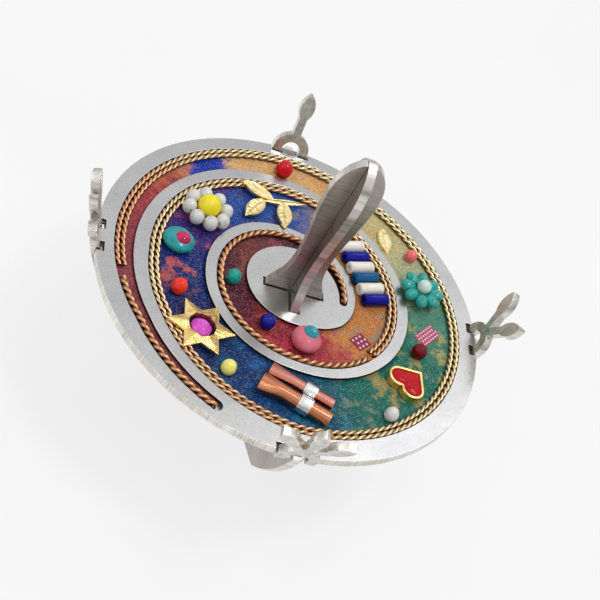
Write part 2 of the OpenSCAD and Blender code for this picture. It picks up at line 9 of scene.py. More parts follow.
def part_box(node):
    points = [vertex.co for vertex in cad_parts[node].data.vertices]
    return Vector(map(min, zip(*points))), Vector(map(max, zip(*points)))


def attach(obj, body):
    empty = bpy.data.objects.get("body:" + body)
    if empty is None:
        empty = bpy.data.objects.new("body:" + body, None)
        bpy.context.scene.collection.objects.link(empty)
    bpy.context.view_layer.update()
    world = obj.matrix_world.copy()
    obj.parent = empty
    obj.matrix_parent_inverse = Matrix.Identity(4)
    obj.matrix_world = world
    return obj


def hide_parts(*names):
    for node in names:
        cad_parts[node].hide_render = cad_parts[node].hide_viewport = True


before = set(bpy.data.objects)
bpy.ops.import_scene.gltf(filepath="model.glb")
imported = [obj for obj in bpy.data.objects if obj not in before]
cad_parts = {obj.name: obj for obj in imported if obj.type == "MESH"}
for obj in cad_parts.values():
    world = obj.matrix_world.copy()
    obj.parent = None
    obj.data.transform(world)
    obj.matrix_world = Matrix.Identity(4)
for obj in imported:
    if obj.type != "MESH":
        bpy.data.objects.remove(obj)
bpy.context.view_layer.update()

bl_info = {
    "name": "Beaded Steel Dreidel",
    "version": (1, 0, 0),
    "blender": (4, 5, 0),
    "location": "View3D > Sidebar > Dreidel",
    "description": "Dresses a packed dreidel with steel, paint, wire, beads and charms",
    "category": "Object",
}

MM = 0.001
WHITE = (1.0, 1.0, 1.0, 1.0)

# Channel: it winds inwards and clockwise from its start, and its walls are shares of the disc's radius
CHANNEL_START = 245.0
CHANNEL_END = 965.0
OUTER_WALL = (
    (0, .954), (35, .906), (155, .931), (245, .906), (335, .88), (395, .769), (425, .74), (470, .74),
    (525, .691), (548, .643), (605, .56), (695, .457), (785, .397), (845, .38), (875, .366), (915, .331),
    (965, .286),
)
INNER_WALL = (
    (0, .891), (35, .834), (65, .814), (125, .789), (155, .757), (188, .686), (245, .62), (335, .511),
    (395, .474), (425, .454), (485, .431), (525, .4), (560, .371), (605, .329), (635, .297), (665, .246),
    (695, .226), (725, .226), (785, .243), (845, .266), (885, .28), (915, .269), (965, .246),
)

# Places in the channel: turn from its start, share of its free floor, and twist from the outward direction
PLACES = {
    "red_bead": (152, .42, 0),
    "leaf": (199.6, .42, -127),
    "salmon_bead": (210.6, .76, 0),
    "turquoise_flower": (228.4, .41, 0),
    "pale_patch": (248.6, .5, 52),
    "garnet_bead": (261.6, .36, 0),
    "heart": (279.6, .52, 80),
    "pearl": (298, .87, 0),
    "tubes": (335, .5, 68.5),
    "yellow_bead": (363.8, .75, 0),
    "star": (383.6, .6, 18.6),
    "coral_bead": (405.7, .66, 0),
    "turquoise_cabochon": (434.2, .66, 0),
    "pearl_flower": (460.8, .54, 0),
    "sprig": (523.03, .89, 112),
    "bugles": (573.6, .44, -11.5),
    "dark_patch": (635.8, .68, 75),
    "pink_cabochon": (685.8, .52, 0),
    "blue_bead": (722.8, .55, 0),
    "turquoise_bead": (777, .75, 0),
}

# Colours of the paint by turn: the ground, and the patches of a second colour on it
PAINT_GROUND = (
    (0, (150, 84, 84)), (70, (168, 66, 80)), (98, (202, 74, 78)), (111, (238, 150, 96)),
    (114, (4, 66, 196)), (128, (4, 60, 196)), (131, (250, 198, 138)), (168, (248, 190, 122)),
    (190, (230, 208, 142)), (214, (198, 206, 158)), (238, (92, 160, 134)), (262, (26, 126, 106)),
    (305, (8, 116, 102)), (325, (8, 84, 122)), (345, (6, 70, 134)), (385, (8, 36, 98)),
    (430, (12, 46, 132)), (458, (86, 40, 138)), (472, (34, 84, 176)), (520, (42, 96, 188)),
    (546, (206, 150, 76)), (600, (222, 140, 70)), (648, (232, 150, 74)), (666, (196, 62, 68)),
    (690, (156, 22, 58)), (722, (166, 48, 48)), (748, (100, 14, 48)), (790, (84, 20, 50)),
    (830, (144, 70, 70)), (870, (88, 42, 70)), (965, (78, 44, 54)),
)
PAINT_PATCHES = (
    (0, (120, 36, 48)), (100, (150, 40, 60)), (112, (226, 130, 90)), (115, (6, 60, 190)),
    (128, (4, 44, 160)), (131, (250, 196, 120)), (185, (246, 176, 90)), (205, (232, 214, 150)),
    (245, (196, 186, 118)), (290, (184, 166, 92)), (318, (30, 128, 150)), (345, (16, 120, 194)),
    (372, (8, 84, 130)), (398, (70, 40, 90)), (412, (226, 108, 90)), (440, (206, 96, 96)),
    (462, (140, 62, 150)), (495, (30, 60, 140)), (525, (166, 156, 140)), (560, (180, 130, 80)),
    (630, (176, 156, 132)), (660, (212, 60, 70)), (700, (214, 44, 90)), (728, (226, 90, 66)),
    (760, (70, 14, 46)), (815, (186, 96, 86)), (850, (170, 84, 84)), (900, (66, 32, 62)),
    (965, (60, 36, 50)),
)

# How far the gold of the ropes has worn to copper, by turn
ROPE_WARMTH = (
    (0, 0.3), (55, 1.0), (95, 0.8), (125, 0.25), (180, 0.0), (260, 0.1), (310, 0.35), (350, 0.85),
    (385, 0.6), (410, 0.1), (470, 0.25), (520, 0.5), (570, 0.35), (640, 0.9), (700, 0.2), (800, 0.6),
    (965, 0.9),
)

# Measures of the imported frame
DISC_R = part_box("base_disc")[1].x
FLOOR_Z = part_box("enamel_inlay")[1].z
PAINT_T = FLOOR_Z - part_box("enamel_inlay")[0].z
ROPE_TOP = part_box("gold_rope_wall")[1].z - FLOOR_Z

# Ropes along the outer wall: gaps, widths, spans by turn, and shares of a rope's width
WALL_GAP = 0.08 * MM
GOLD_ROPE_D = 0.9 * MM
COPPER_ROPE_D = 1.2 * MM
ROPE_BAND = 2 * GOLD_ROPE_D + 2 * WALL_GAP
OUTER_COPPER_SPAN = (0, 50)
GOLD_SPAN = (55, 640)
INNER_COPPER_SPAN = (645, CHANNEL_END)
STRAND_SHARE = 0.295
TWIST_SHARE = 0.54
CORE_SHARE = 0.16
STRAND_STEP = 0.14 * MM

# Share of its radius at which a round piece lies over the floor, and petals of each flower
LYING_SHARE = 0.92
PETALS = 8


def seen(red, green, blue):
    """Colour as it is seen, from 0 to 255, as the linear colour that a shader takes."""
    def linear(value):
        share = value / 255
        return share / 12.92 if share <= 0.04045 else ((share + 0.055) / 1.055) ** 2.4
    return (linear(red), linear(green), linear(blue), 1.0)


def colour_property(name, description, red, green, blue):
    """Colour that a user can change."""
    return bpy.props.FloatVectorProperty(
        name=name, description=description, subtype="COLOR", size=4, min=0.0, max=1.0,
        default=seen(red, green, blue),
    )


def length_property(name, description, millimetres):
    """Length that a user can change."""
    return bpy.props.FloatProperty(
        name=name, description=description, unit="LENGTH", min=0.0, precision=5, default=millimetres * MM,
    )


def lengths_property(name, description, *millimetres):
    """Place, or group of lengths, that a user can change."""
    return bpy.props.FloatVectorProperty(
        name=name, description=description, unit="LENGTH", precision=5, size=len(millimetres),
        default=[value * MM for value in millimetres],
    )


def power_property(name, description, watts):
    """Power of a lamp that a user can change."""
    return bpy.props.FloatProperty(name=name, description=description, unit="POWER", min=0.0, default=watts)


def level_property(name, description, level):
    """Share or level that a user can change."""
    return bpy.props.FloatProperty(name=name, description=description, min=0.0, default=level)


class SteelLooks(bpy.types.PropertyGroup):
    """Finish of the sheet-steel plates."""

    disc_colour: colour_property("Disc", "Grained steel of the disc", 200, 200, 201)
    stem_colour: colour_property("Stem", "Brushed steel of the two crossed plates", 188, 182, 175)
    mark_colour: colour_property("Marks", "Steel of the four marks on the rim", 222, 219, 213)
    edge_colour: colour_property("Cut edges", "Bright cut edges of the sheet", 238, 236, 230)
    # The dark wall colour is painted shade in the recessed channel walls and slots
    wall_colour: colour_property("Channel walls", "Dull burnt cut of the channel and the slots", 92, 82, 74)
    grain_size: length_property("Grain", "Size of the grain of the steel", 0.2)
    edge_round: length_property("Edge rounding", "Rounding of the cut edges", 0.07)


class PaintLooks(bpy.types.PropertyGroup):
    """Glitter paint on the floor of the channel."""

    patch_size: length_property("Patches", "Size of the patches of a second colour", 3.2)
    fleck_size: length_property("Flecks", "Size of the glitter flecks", 0.13)
    relief: length_property("Relief", "Unevenness of the dried paint", 0.05)


class WireLooks(bpy.types.PropertyGroup):
    """Twisted wire ropes along the outer wall of the channel."""

    gold_colour: colour_property("Gold", "Pale gold of the double rope", 246, 226, 178)
    copper_colour: colour_property("Copper", "Rose copper of the single rope", 228, 170, 128)
    # The core's patina colour also serves as painted shade in the gaps between the strands
    patina_and_gap_shade_colour: colour_property("Patina", "Dark wire core between the strands", 70, 46, 26)
    gold_pitch: length_property("Gold pitch", "Length of one turn of a gold strand", 3.0)
    copper_pitch: length_property("Copper pitch", "Length of one turn of a copper strand", 3.0)


class BeadLooks(bpy.types.PropertyGroup):
    """Beads, bugles and flowers."""

    red_colour: colour_property("Red", "Glass of the red bead", 250, 0, 34)
    salmon_colour: colour_property("Salmon", "Salmon bead", 255, 118, 122)
    garnet_colour: colour_property("Garnet", "Glass of the garnet bead", 140, 0, 20)
    pearl_colour: colour_property("Pearl", "White pearls", 226, 226, 224)
    yellow_colour: colour_property("Yellow", "Pale lemon bead", 255, 250, 136)
    coral_colour: colour_property("Coral", "Orange-red bead", 255, 56, 30)
    blue_colour: colour_property("Blue", "Glass of the blue bead", 10, 30, 170)
    turquoise_colour: colour_property("Turquoise", "Turquoise bead and petals", 8, 168, 158)
    mint_colour: colour_property("Mint", "Pale middle of the turquoise flower", 212, 236, 228)
    lemon_colour: colour_property("Lemon", "Yellow middle of the pearl flower", 255, 236, 22)
    ivory_colour: colour_property("Ivory", "White bugles", 246, 240, 226)
    bugle_blue_colour: colour_property("Bugle blue", "Blue bugles", 0, 2, 150)
    bugle_teal_colour: colour_property("Bugle teal", "Teal bugle", 0, 92, 146)
    bugle_length: length_property("Bugle length", "Length of a bugle", 4.8)
    bugle_width: length_property("Bugle width", "Width of a bugle", 2.2)
    bugle_bore: length_property("Bugle bore", "Hole through a bugle", 0.8)
    bugle_gap: length_property("Bugle gap", "Gap between two bugles", 0.2)
    turquoise_reach: length_property("Turquoise flower", "Radius of the turquoise flower", 4.3)
    pearl_reach: length_property("Pearl flower", "Radius of the pearl flower", 4.6)


class CharmLooks(bpy.types.PropertyGroup):
    """Stones, charms, tubes and patches."""

    gold_colour: colour_property("Gold", "Pale gold of the charms", 248, 212, 128)
    enamel_colour: colour_property("Enamel", "Red enamel of the heart", 190, 2, 28)
    cabochon_colour: colour_property("Turquoise stone", "Turquoise cabochon", 10, 160, 164)
    pink_colour: colour_property("Pink stone", "Dusty rose cabochon", 226, 118, 134)
    magenta_colour: colour_property("Magenta stone", "Magenta stones", 208, 0, 94)
    violet_colour: colour_property("Violet stone", "Stone of the star", 232, 64, 214)
    crystal_colour: colour_property("Crystal", "Cyan crystal", 0, 188, 214)
    copper_colour: colour_property("Copper tube", "Rolled copper of the tubes", 206, 134, 98)
    silver_colour: colour_property("Silver band", "Bands round the tubes", 228, 228, 226)
    patch_colour: colour_property("Pale patch", "Ground of the pale patch", 190, 70, 110)
    dark_patch_colour: colour_property("Dark patch", "Ground of the dark patch", 150, 20, 70)
    dot_colour: colour_property("Dots", "Dots on the patches", 246, 232, 236)
    leaf_relief: length_property("Leaf relief", "Height of the veins and rims of the leaves", 0.16)
    hammer_depth: length_property("Hammering", "Depth of the hammer marks on the star", 0.13)
    star_tip_radius: length_property("Star tips", "Radius of the star at its tips", 5.9)
    star_notch_radius: length_property("Star notches", "Radius of the star at its notches", 3.4)
    star_hole_radius: length_property("Star hole", "Radius of the hole in the star", 2.4)
    star_stone_share: level_property("Star stone", "Share of its seat that the stone fills", 0.88)
    leaf_thickness: length_property("Leaf thickness", "Thickness of the leaves", 0.4)
    leaf_size: lengths_property("Leaf", "Length and width of the leaf", 6.2, 2.6)
    sprig_stem: lengths_property("Sprig stem", "Length and width of the sprig's stem", 9.8, 1.2)
    sprig_leaf: lengths_property("Sprig leaf", "Length and width of the sprig's leaves", 6.4, 2.8)
    long_tube: lengths_property("Long tube", "Length and width of the long tube", 12.6, 2.6)
    short_tube: lengths_property("Short tube", "Length and width of the short tube", 11.6, 2.2)
    tube_gap: length_property("Tube gap", "Gap between the two tubes", 1.0)
    tube_wall: length_property("Tube wall", "Thickness of the rolled copper with its lap", 0.3)
    tube_band: lengths_property("Tube band", "Length and thickness of the silver bands", 2.2, 0.25)
    band_share: level_property("Band place", "Share of a tube from its middle to its band", 0.13)
    pale_patch: lengths_property("Pale patch size", "Length and width of the pale patch", 5.0, 2.7)
    pale_dots: lengths_property("Pale patch dots", "Step and width of its dots", 0.68, 0.46)
    dark_patch: lengths_property("Dark patch size", "Length and width of the dark patch", 3.2, 2.8)
    dark_dots: lengths_property("Dark patch dots", "Step and width of its dots", 0.9, 0.52)


class StageLooks(bpy.types.PropertyGroup):
    """Camera, floor and light."""

    camera_place: lengths_property("Camera", "Place of the camera", -83.54, -184.64, 208.53)
    camera_aim: lengths_property("Aim", "Point that the camera and the lamps face", 1.14, -2.2, 28.3)
    camera_roll: bpy.props.FloatProperty(
        name="Roll", description="Turn of the camera about its own axis", unit="ROTATION",
        default=math.radians(33.02),
    )
    camera_lens: bpy.props.FloatProperty(
        name="Lens", description="Focal length on a 36 mm sensor", unit="CAMERA", min=1.0, default=96.15,
    )
    floor_colour: colour_property("Floor", "Plain pale floor", 251, 251, 251)
    floor_size: length_property("Floor size", "Half width of the floor", 4000)
    floor_glow: level_property("Floor glow", "Share of the floor that shows its plain colour", 0.8)
    sky_colour: colour_property("Sky colour", "Pale background", 250, 250, 250)
    sky_level: level_property("Sky", "Level of the light from all round", 0.58)
    key_place: lengths_property("Key light place", "Place of the soft main light", 130, -70, 550)
    key_size: length_property("Key light size", "Width of the soft main light", 110)
    key_power: power_property("Key light", "Power of the soft main light", 0.75)
    top_place: lengths_property("Top light place", "Place of the lamp that gleams on the disc", 250, 250, 450)
    top_size: length_property("Top light size", "Width of the lamp that gleams on the disc", 100)
    top_power: power_property("Top light", "Power of the lamp that gleams on the disc", 0.2)
    fill_place: lengths_property("Fill light place", "Place of the soft second light", -420, -100, 300)
    fill_size: length_property("Fill light size", "Width of the soft second light", 400)
    fill_power: power_property("Fill light", "Power of the soft second light", 0.3)


# Places and shapes

def between(turn, table):
    """Value of a table at a turn, in a straight line between its rows."""
    if turn <= table[0][0]:
        return table[0][1]
    for (first, low), (last, high) in zip(table, table[1:]):
        if turn <= last:
            return low + (high - low) * (turn - first) / (last - first)
    return table[-1][1]


def outer_wall(turn):
    """Radius of the channel's outer wall."""
    return DISC_R * between(turn, OUTER_WALL)


def inner_wall(turn):
    """Radius of the channel's inner wall."""
    return DISC_R * between(turn, INNER_WALL)


def at_turn(turn, radius, height):
    """Point of the channel at a turn, a radius and a height."""
    angle = math.radians(CHANNEL_START - turn)
    return Vector((radius * math.cos(angle), radius * math.sin(angle), height))


def turned(degrees, axis="Z"):
    """Turn about an axis."""
    return Matrix.Rotation(math.radians(degrees), 4, axis)


def moved(x, y=0.0, z=0.0):
    """Move by a vector."""
    return Matrix.Translation((x, y, z))


def scaled(x, y, z):
    """Scale along the axes."""
    return Matrix.Diagonal((x, y, z, 1.0))


def on_floor(name, twist=True):
    """Place of a piece on the floor of the channel, with X outwards before its own twist."""
    turn, share, own_twist = PLACES[name]
    inner = inner_wall(turn)
    radius = inner + share * (outer_wall(turn) - ROPE_BAND - inner)
    place = Matrix.Translation(at_turn(turn, radius, FLOOR_Z)) @ turned(CHANNEL_START - turn)
    return place @ turned(own_twist) if twist else place


def eased(value):
    """Smooth step from 0 to 1."""
    value = min(1.0, max(0.0, value))
    return value * value * (3 - 2 * value)


def put(target, shape, place):
    """Moves a finished shape to its place and adds it to a piece."""
    shape.transform(place)
    mesh = bpy.data.meshes.new("shape")
    shape.to_mesh(mesh)
    shape.free()
    target.from_mesh(mesh)
    bpy.data.meshes.remove(mesh)


def piece(name, shape, nodes, materials, sharp=40.0):
    """Finished piece that rides on the dreidel and stands for its CAD nodes."""
    mesh = bpy.data.meshes.new(name)
    shape.to_mesh(mesh)
    shape.free()
    if not mesh.polygons:
        raise RuntimeError(f"{name} has no faces")
    for material in materials:
        mesh.materials.append(material)
    mesh.shade_smooth()
    mesh.set_sharp_from_angle(angle=math.radians(sharp))
    made = bpy.data.objects.new(name, mesh)
    bpy.context.scene.collection.objects.link(made)
    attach(made, "root")
    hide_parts(*nodes)
    return made


def width_height(node):
    """Width and height of a CAD node."""
    low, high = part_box(node)
    return high.x - low.x, high.z - low.z


def cad_copy(node):
    """Merged copy of a CAD node's mesh, with its flat faces whole."""
    shape = bmesh.new()
    shape.from_mesh(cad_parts[node].data)
    merge_gap = 0.002 * MM
    flat_angle = math.radians(0.5)
    bmesh.ops.remove_doubles(shape, verts=shape.verts, dist=merge_gap)
    bmesh.ops.dissolve_limit(
        shape, angle_limit=flat_angle, verts=shape.verts, edges=shape.edges, delimit=set(),
    )
    return shape


def soften(shape, width, segments=3, angle=40.0):
    """Rounds the sharp edges of a shape."""
    limit = math.radians(angle)
    edges = [edge for edge in shape.edges if edge.is_manifold and edge.calc_face_angle() > limit]
    bmesh.ops.bevel(
        shape, geom=edges, offset=width, offset_type="OFFSET", segments=segments, profile=0.5,
        affect="EDGES", material=-1, clamp_overlap=False,
    )


def close_seat(shape, height=0.0):
    """Cuts a shape off below a height and closes the cut."""
    cut = bmesh.ops.bisect_plane(
        shape, geom=shape.verts[:] + shape.edges[:] + shape.faces[:], dist=1e-8,
        plane_co=(0, 0, height), plane_no=(0, 0, 1), clear_inner=True,
    )
    rim = [item for item in cut["geom_cut"] if isinstance(item, bmesh.types.BMEdge)]
    if rim:
        bmesh.ops.edgeloop_fill(shape, edges=rim)


def uneven(shape, size, depth, seed):
    """Moves the points of a shape a little along their normals, for a hand-made look."""
    shift = Vector((seed * 3.1, seed * 1.7, seed * 2.3))
    shape.normal_update()
    for vert in shape.verts:
        vert.co += vert.normal * depth * noise.noise(vert.co / size + shift)


def ball(width, height, seat_angle=-45.0, hole=0.0, hole_turn=0.0, seed=0.0, wobble=0.015):
    """Round bead on a flat seat, with a dimpled thread hole along a turn."""
    dimple = 0.55
    shape = bmesh.new()
    bmesh.ops.create_uvsphere(shape, u_segments=40, v_segments=28, radius=0.5)
    if hole:
        for vert in shape.verts:
            off_axis = math.hypot(vert.co.x, vert.co.y)
            vert.co.z *= 1 - dimple * eased((hole - off_axis) / (0.5 * hole))
        bmesh.ops.rotate(shape, verts=shape.verts, matrix=turned(90, "Y"))
        bmesh.ops.rotate(shape, verts=shape.verts, matrix=turned(hole_turn))
    seat = math.sin(math.radians(seat_angle))
    full = 2 * height / (1 - seat)
    shape.transform(scaled(width, width, full))
    uneven(shape, width, wobble * width, seed)
    shape.transform(moved(0, 0, -seat * full / 2))
    close_seat(shape)
    bmesh.ops.recalc_face_normals(shape, faces=shape.faces)
    return shape


def spun_tube(outline):
    """Closed ring of a profile of (along X, radius), spun about X."""
    shape = bmesh.new()
    verts = [shape.verts.new((along, 0, radius)) for along, radius in outline]
    edges = [shape.edges.new((first, last)) for first, last in zip(verts, verts[1:] + verts[:1])]
    bmesh.ops.spin(
        shape, geom=verts + edges, cent=(0, 0, 0), axis=(1, 0, 0), angle=math.tau, steps=28, use_merge=True,
    )
    bmesh.ops.remove_doubles(shape, verts=shape.verts, dist=1e-8)
    bmesh.ops.recalc_face_normals(shape, faces=shape.faces)
    return shape


def tube_outline(length, width, bore, rounding):
    """Profile of a short tube with rounded ends."""
    end = length / 2
    outer = width / 2
    inner = bore / 2
    lip = rounding / 3
    quarter = [math.radians(step * 22.5) for step in range(5)]
    right = [(end - rounding * (1 - math.sin(a)), outer - rounding * (1 - math.cos(a))) for a in quarter]
    right += [(end, inner + lip), (end - rounding / 2, inner)]
    left = [(-along, radius) for along, radius in reversed(right)]
    return left + right


def tube_along(points, radius):
    """Mesh of a round tube along points, with closed ends."""
    curve = bpy.data.curves.new("tube", "CURVE")
    curve.dimensions = "3D"
    curve.bevel_depth = radius
    curve.bevel_resolution = 2
    curve.use_fill_caps = True
    spline = curve.splines.new("POLY")
    spline.points.add(len(points) - 1)
    for target, point in zip(spline.points, points):
        target.co = (point.x, point.y, point.z, 1.0)
    holder = bpy.data.objects.new("tube", curve)
    bpy.context.scene.collection.objects.link(holder)
    bpy.context.view_layer.update()
    graph = bpy.context.evaluated_depsgraph_get()
    mesh = bpy.data.meshes.new_from_object(holder.evaluated_get(graph))
    bpy.data.objects.remove(holder)
    bpy.data.curves.remove(curve)
    return mesh


def gem(width, height, table_share, sides, girdle_share):
    """Cut stone with a flat table and a row of slanted facets."""
    shape = bmesh.new()
    bmesh.ops.create_cone(
        shape, cap_ends=True, cap_tris=False, segments=sides, radius1=width / 2,
        radius2=width / 2 * table_share, depth=height * (1 - girdle_share),
    )
    bmesh.ops.translate(shape, verts=shape.verts, vec=(0, 0, height * (1 + girdle_share) / 2))
    below = [face for face in shape.faces if face.normal.z < -0.9]
    grown = bmesh.ops.extrude_face_region(shape, geom=below)
    verts = [item for item in grown["geom"] if isinstance(item, bmesh.types.BMVert)]
    bmesh.ops.translate(shape, verts=verts, vec=(0, 0, -height * girdle_share))
    bmesh.ops.delete(shape, geom=below, context="FACES_ONLY")
    soften(shape, 0.03 * width, segments=1, angle=12)
    bmesh.ops.recalc_face_normals(shape, faces=shape.faces)
    return shape


def leaf_half(length, width, along):
    """Half width of a pointed leaf at a distance along it."""
    bend = (length * length + width * width) / (4 * width)
    return max(0.0, math.sqrt(bend * bend - (along - length / 2) ** 2) - (bend - width / 2))


def leaf_shape(length, width, thickness, relief, veins, cup):
    """Leaf from its root along X, with a rim, a middle vein and slanted side veins."""
    shape = bmesh.new()
    bmesh.ops.create_grid(shape, x_segments=48, y_segments=22, size=0.5)
    top = shape.faces[:]
    grown = bmesh.ops.extrude_face_region(shape, geom=top)
    upper = {item for item in grown["geom"] if isinstance(item, bmesh.types.BMVert)}
    for vert in shape.verts:
        share = vert.co.x + 0.5
        across = vert.co.y * 2
        half = leaf_half(length, width, share * length)
        height = 0.0
        if vert in upper:
            rim = eased((abs(across) - 0.78) / 0.12)
            middle = eased((0.13 - abs(across)) / 0.1)
            side = math.sin(math.tau * (veins * share - 0.9 * abs(across)))
            flat = eased((abs(across) - 0.1) / 0.15) * (1 - rim)
            height = thickness * 0.6 + relief * (0.7 * rim + 0.9 * middle + 0.14 * side * flat)
            height += cup * (across * across)
            height = thickness * 0.25 + (height - thickness * 0.25) * min(1.0, half / (0.12 * width))
        vert.co = Vector((share * length, across * half, height))
    bmesh.ops.remove_doubles(shape, verts=shape.verts, dist=0.004 * MM)
    bmesh.ops.recalc_face_normals(shape, faces=shape.faces)
    return shape


# Finishes

def add(tree, kind, inputs=None, **fields):
    """New node of a tree, with its fields, its values and its links set."""
    made = tree.nodes.new(kind)
    for field, value in fields.items():
        setattr(made, field, value)
    for name, value in (inputs or {}).items():
        if isinstance(value, bpy.types.NodeSocket):
            tree.links.new(value, made.inputs[name])
        else:
            made.inputs[name].default_value = value
    return made


def finish(name, **values):
    """New material with its node tree and its shader, whose plain values are set by name."""
    material = bpy.data.materials.new(name)
    material.use_nodes = True
    tree = material.node_tree
    shader = tree.nodes["Principled BSDF"]
    for key, value in values.items():
        shader.inputs[key.replace("_", " ").title().replace("Ior", "IOR")].default_value = value
    return material, tree, shader


def lengthwise(axes, coarse, fine):
    """Scale of a pattern that is drawn out along the named axes and fine across them."""
    return tuple(coarse if axis in axes else fine for axis in "XYZ")


def object_coords(tree, scale=(1.0, 1.0, 1.0), turn=0.0):
    """Object coordinates, turned about Z in degrees and then stretched."""
    coords = tree.nodes.new("ShaderNodeTexCoord").outputs["Object"]
    if turn:
        rotation = (0.0, 0.0, math.radians(turn))
        coords = add(tree, "ShaderNodeMapping", {"Vector": coords, "Rotation": rotation}).outputs["Vector"]
    return add(tree, "ShaderNodeMapping", {"Vector": coords, "Scale": scale}).outputs["Vector"]


def axis_of(tree, vector, axis):
    """One coordinate of a vector."""
    return add(tree, "ShaderNodeSeparateXYZ", {"Vector": vector}).outputs[axis]


def grain(tree, coords, size, detail=3.0, roughness=0.55):
    """Noise whose grains have a size."""
    return add(
        tree, "ShaderNodeTexNoise",
        {"Vector": coords, "Scale": 1 / size, "Detail": detail, "Roughness": roughness},
    ).outputs["Fac"]


def cells(tree, coords, size):
    """Random value for each cell of a size."""
    colour = add(tree, "ShaderNodeTexVoronoi", {"Vector": coords, "Scale": 1 / size}).outputs["Color"]
    return add(tree, "ShaderNodeSeparateColor", {"Color": colour}).outputs["Red"]


def spread(tree, value, low_in, high_in, low, high):
    """Value brought from one range to another, held at both ends."""
    return add(
        tree, "ShaderNodeMapRange",
        {"Value": value, "From Min": low_in, "From Max": high_in, "To Min": low, "To Max": high},
    ).outputs["Result"]


def calc(tree, operation, first, second):
    """Result of an operation on two values."""
    return add(tree, "ShaderNodeMath", {0: first, 1: second}, operation=operation).outputs[0]


def blended(tree, factor, first, second):
    """Two values mixed by a factor."""
    return add(tree, "ShaderNodeMix", {0: factor, 2: first, 3: second}, data_type="FLOAT").outputs[0]


def mixed(tree, factor, first, second, mode="MIX"):
    """Two colours mixed by a factor."""
    return add(
        tree, "ShaderNodeMix", {0: factor, 6: first, 7: second}, data_type="RGBA", blend_type=mode,
    ).outputs[2]


def ramp(tree, factor, stops):
    """Row of colours along a factor."""
    made = add(tree, "ShaderNodeValToRGB", {"Fac": factor})
    elements = made.color_ramp.elements
    for element, (position, colour) in zip(elements, (stops[0], stops[-1])):
        element.position = position
        element.color = colour
    for position, colour in stops[1:-1]:
        elements.new(position).color = colour
    return made.outputs["Color"]


def toned(colour, share):
    """Lighter or darker tone of a colour."""
    return tuple(min(1.0, value * share) for value in colour[:3]) + (1.0,)


def toward(colour, other, share):
    """Colour moved towards another."""
    return tuple(a + (b - a) * share for a, b in zip(colour[:3], other[:3])) + (1.0,)


def tones(tree, factor, colour, *stops):
    """Tones of a colour along a factor, each given by its position and its share."""
    return ramp(tree, factor, [(position, toned(colour, share)) for position, share in stops])


def shades(tree, factor, colour, dark, middle, pale):
    """Colour along a factor: darkened by a share, whole, and paled by a share, each at its position."""
    low = (dark[0], toned(colour, dark[1]))
    high = (pale[0], toward(colour, WHITE, pale[1]))
    return ramp(tree, factor, [low, (middle, colour), high])


def join(tree, shader, **outputs):
    """Links outputs to the shader by name."""
    for key, output in outputs.items():
        tree.links.new(output, shader.inputs[key.replace("_", " ").title()])


def surface(tree, shader, colour, rough, low, high, bumps, depth, ends=(0.3, 0.7)):
    """Gives a shader its colour, its roughness along a pattern and a bump of a real depth."""
    bump = add(tree, "ShaderNodeBump", {"Height": bumps, "Distance": depth, "Strength": 1.0})
    roughness = spread(tree, rough, *ends, low, high)
    join(tree, shader, base_color=colour, roughness=roughness, normal=bump.outputs["Normal"])


def grained_steel(name, colour, size):
    """Matte steel with a fine speckled grain and faint clouds."""
    material, tree, shader = finish(name, metallic=1.0)
    coords = object_coords(tree)
    fine = grain(tree, coords, size, 4.0, 0.7)
    cloud = grain(tree, coords, 9 * MM)
    speckle = tones(tree, fine, colour, (0.3, 0.74), (0.5, 0.92), (0.7, 1.06))
    tint = ramp(tree, cloud, [(0.3, (0.86, 0.86, 0.87, 1)), (0.7, (1, 1, 0.99, 1))])
    clouded = mixed(tree, 1.0, speckle, tint, "MULTIPLY")
    surface(tree, shader, clouded, fine, 0.26, 0.38, fine, 0.005 * MM)
    return material


def brushed_steel(name, colour, scale, low=0.22, high=0.42, bands=0.0):
    """Steel with fine scratches that run the way it was brushed, and coarser steps where it was cut."""
    material, tree, shader = finish(name, metallic=1.0)
    coords = object_coords(tree, scale)
    lines = grain(tree, coords, 1.0, 4.0, 0.7)
    if bands:
        lines = blended(tree, bands, lines, grain(tree, coords, 5.0, 1.0))
    cloud = grain(tree, object_coords(tree), 6 * MM, 4.0)
    tone = tones(tree, lines, colour, (0.32, 0.62), (0.5, 0.95), (0.68, 1.15))
    tint = ramp(tree, cloud, [(0.32, (0.78, 0.75, 0.72, 1)), (0.66, WHITE)])
    clouded = mixed(tree, 1.0, tone, tint, "MULTIPLY")
    surface(tree, shader, clouded, lines, low, high, lines, 0.012 * MM)
    return material


def drawn_wire(name, colour, warm, dark, crest):
    """Polished wire whose colour drifts along it, with dull stains and painted shade in the grooves below its
    crest.
    """
    material, tree, shader = finish(name, metallic=1.0)
    along = add(tree, "ShaderNodeAttribute", attribute_name="along").outputs["Fac"]
    coords = object_coords(tree)
    stain = grain(tree, coords, 2.2 * MM, 4.0)
    scratch = grain(tree, coords, 0.12 * MM)
    drift = mixed(tree, along, colour, warm)
    dull = mixed(tree, spread(tree, stain, 0.55, 0.8, 0.0, 0.4), drift, dark)
    # Painted shade: the colour darkens in the grooves low on the rope; worn holds the stained colour together
    # with this shade
    height = axis_of(tree, coords, "Z")
    groove_shade = spread(tree, height, FLOOR_Z + 0.5 * crest, FLOOR_Z + 0.84 * crest, 0.9, 0.0)
    worn = mixed(tree, groove_shade, dull, toned(dark, 0.3))
    shine = ramp(tree, scratch, [(0.3, (0.8, 0.8, 0.8, 1)), (0.6, WHITE)])
    scratched = mixed(tree, 1.0, worn, shine, "MULTIPLY")
    surface(tree, shader, scratched, stain, 0.26, 0.4, scratch, 0.004 * MM)
    return material


def patina_and_gap_shade(name, colour):
    """Dull dark wire of the core between the strands: patina, and painted shade in the gaps between them."""
    material, tree, shader = finish(name, metallic=0.6)
    coarse = grain(tree, object_coords(tree), 0.4 * MM, 4.0)
    tone = tones(tree, coarse, colour, (0.3, 0.5), (0.7, 1.3))
    surface(tree, shader, tone, coarse, 0.5, 0.75, coarse, 0.01 * MM)
    return material


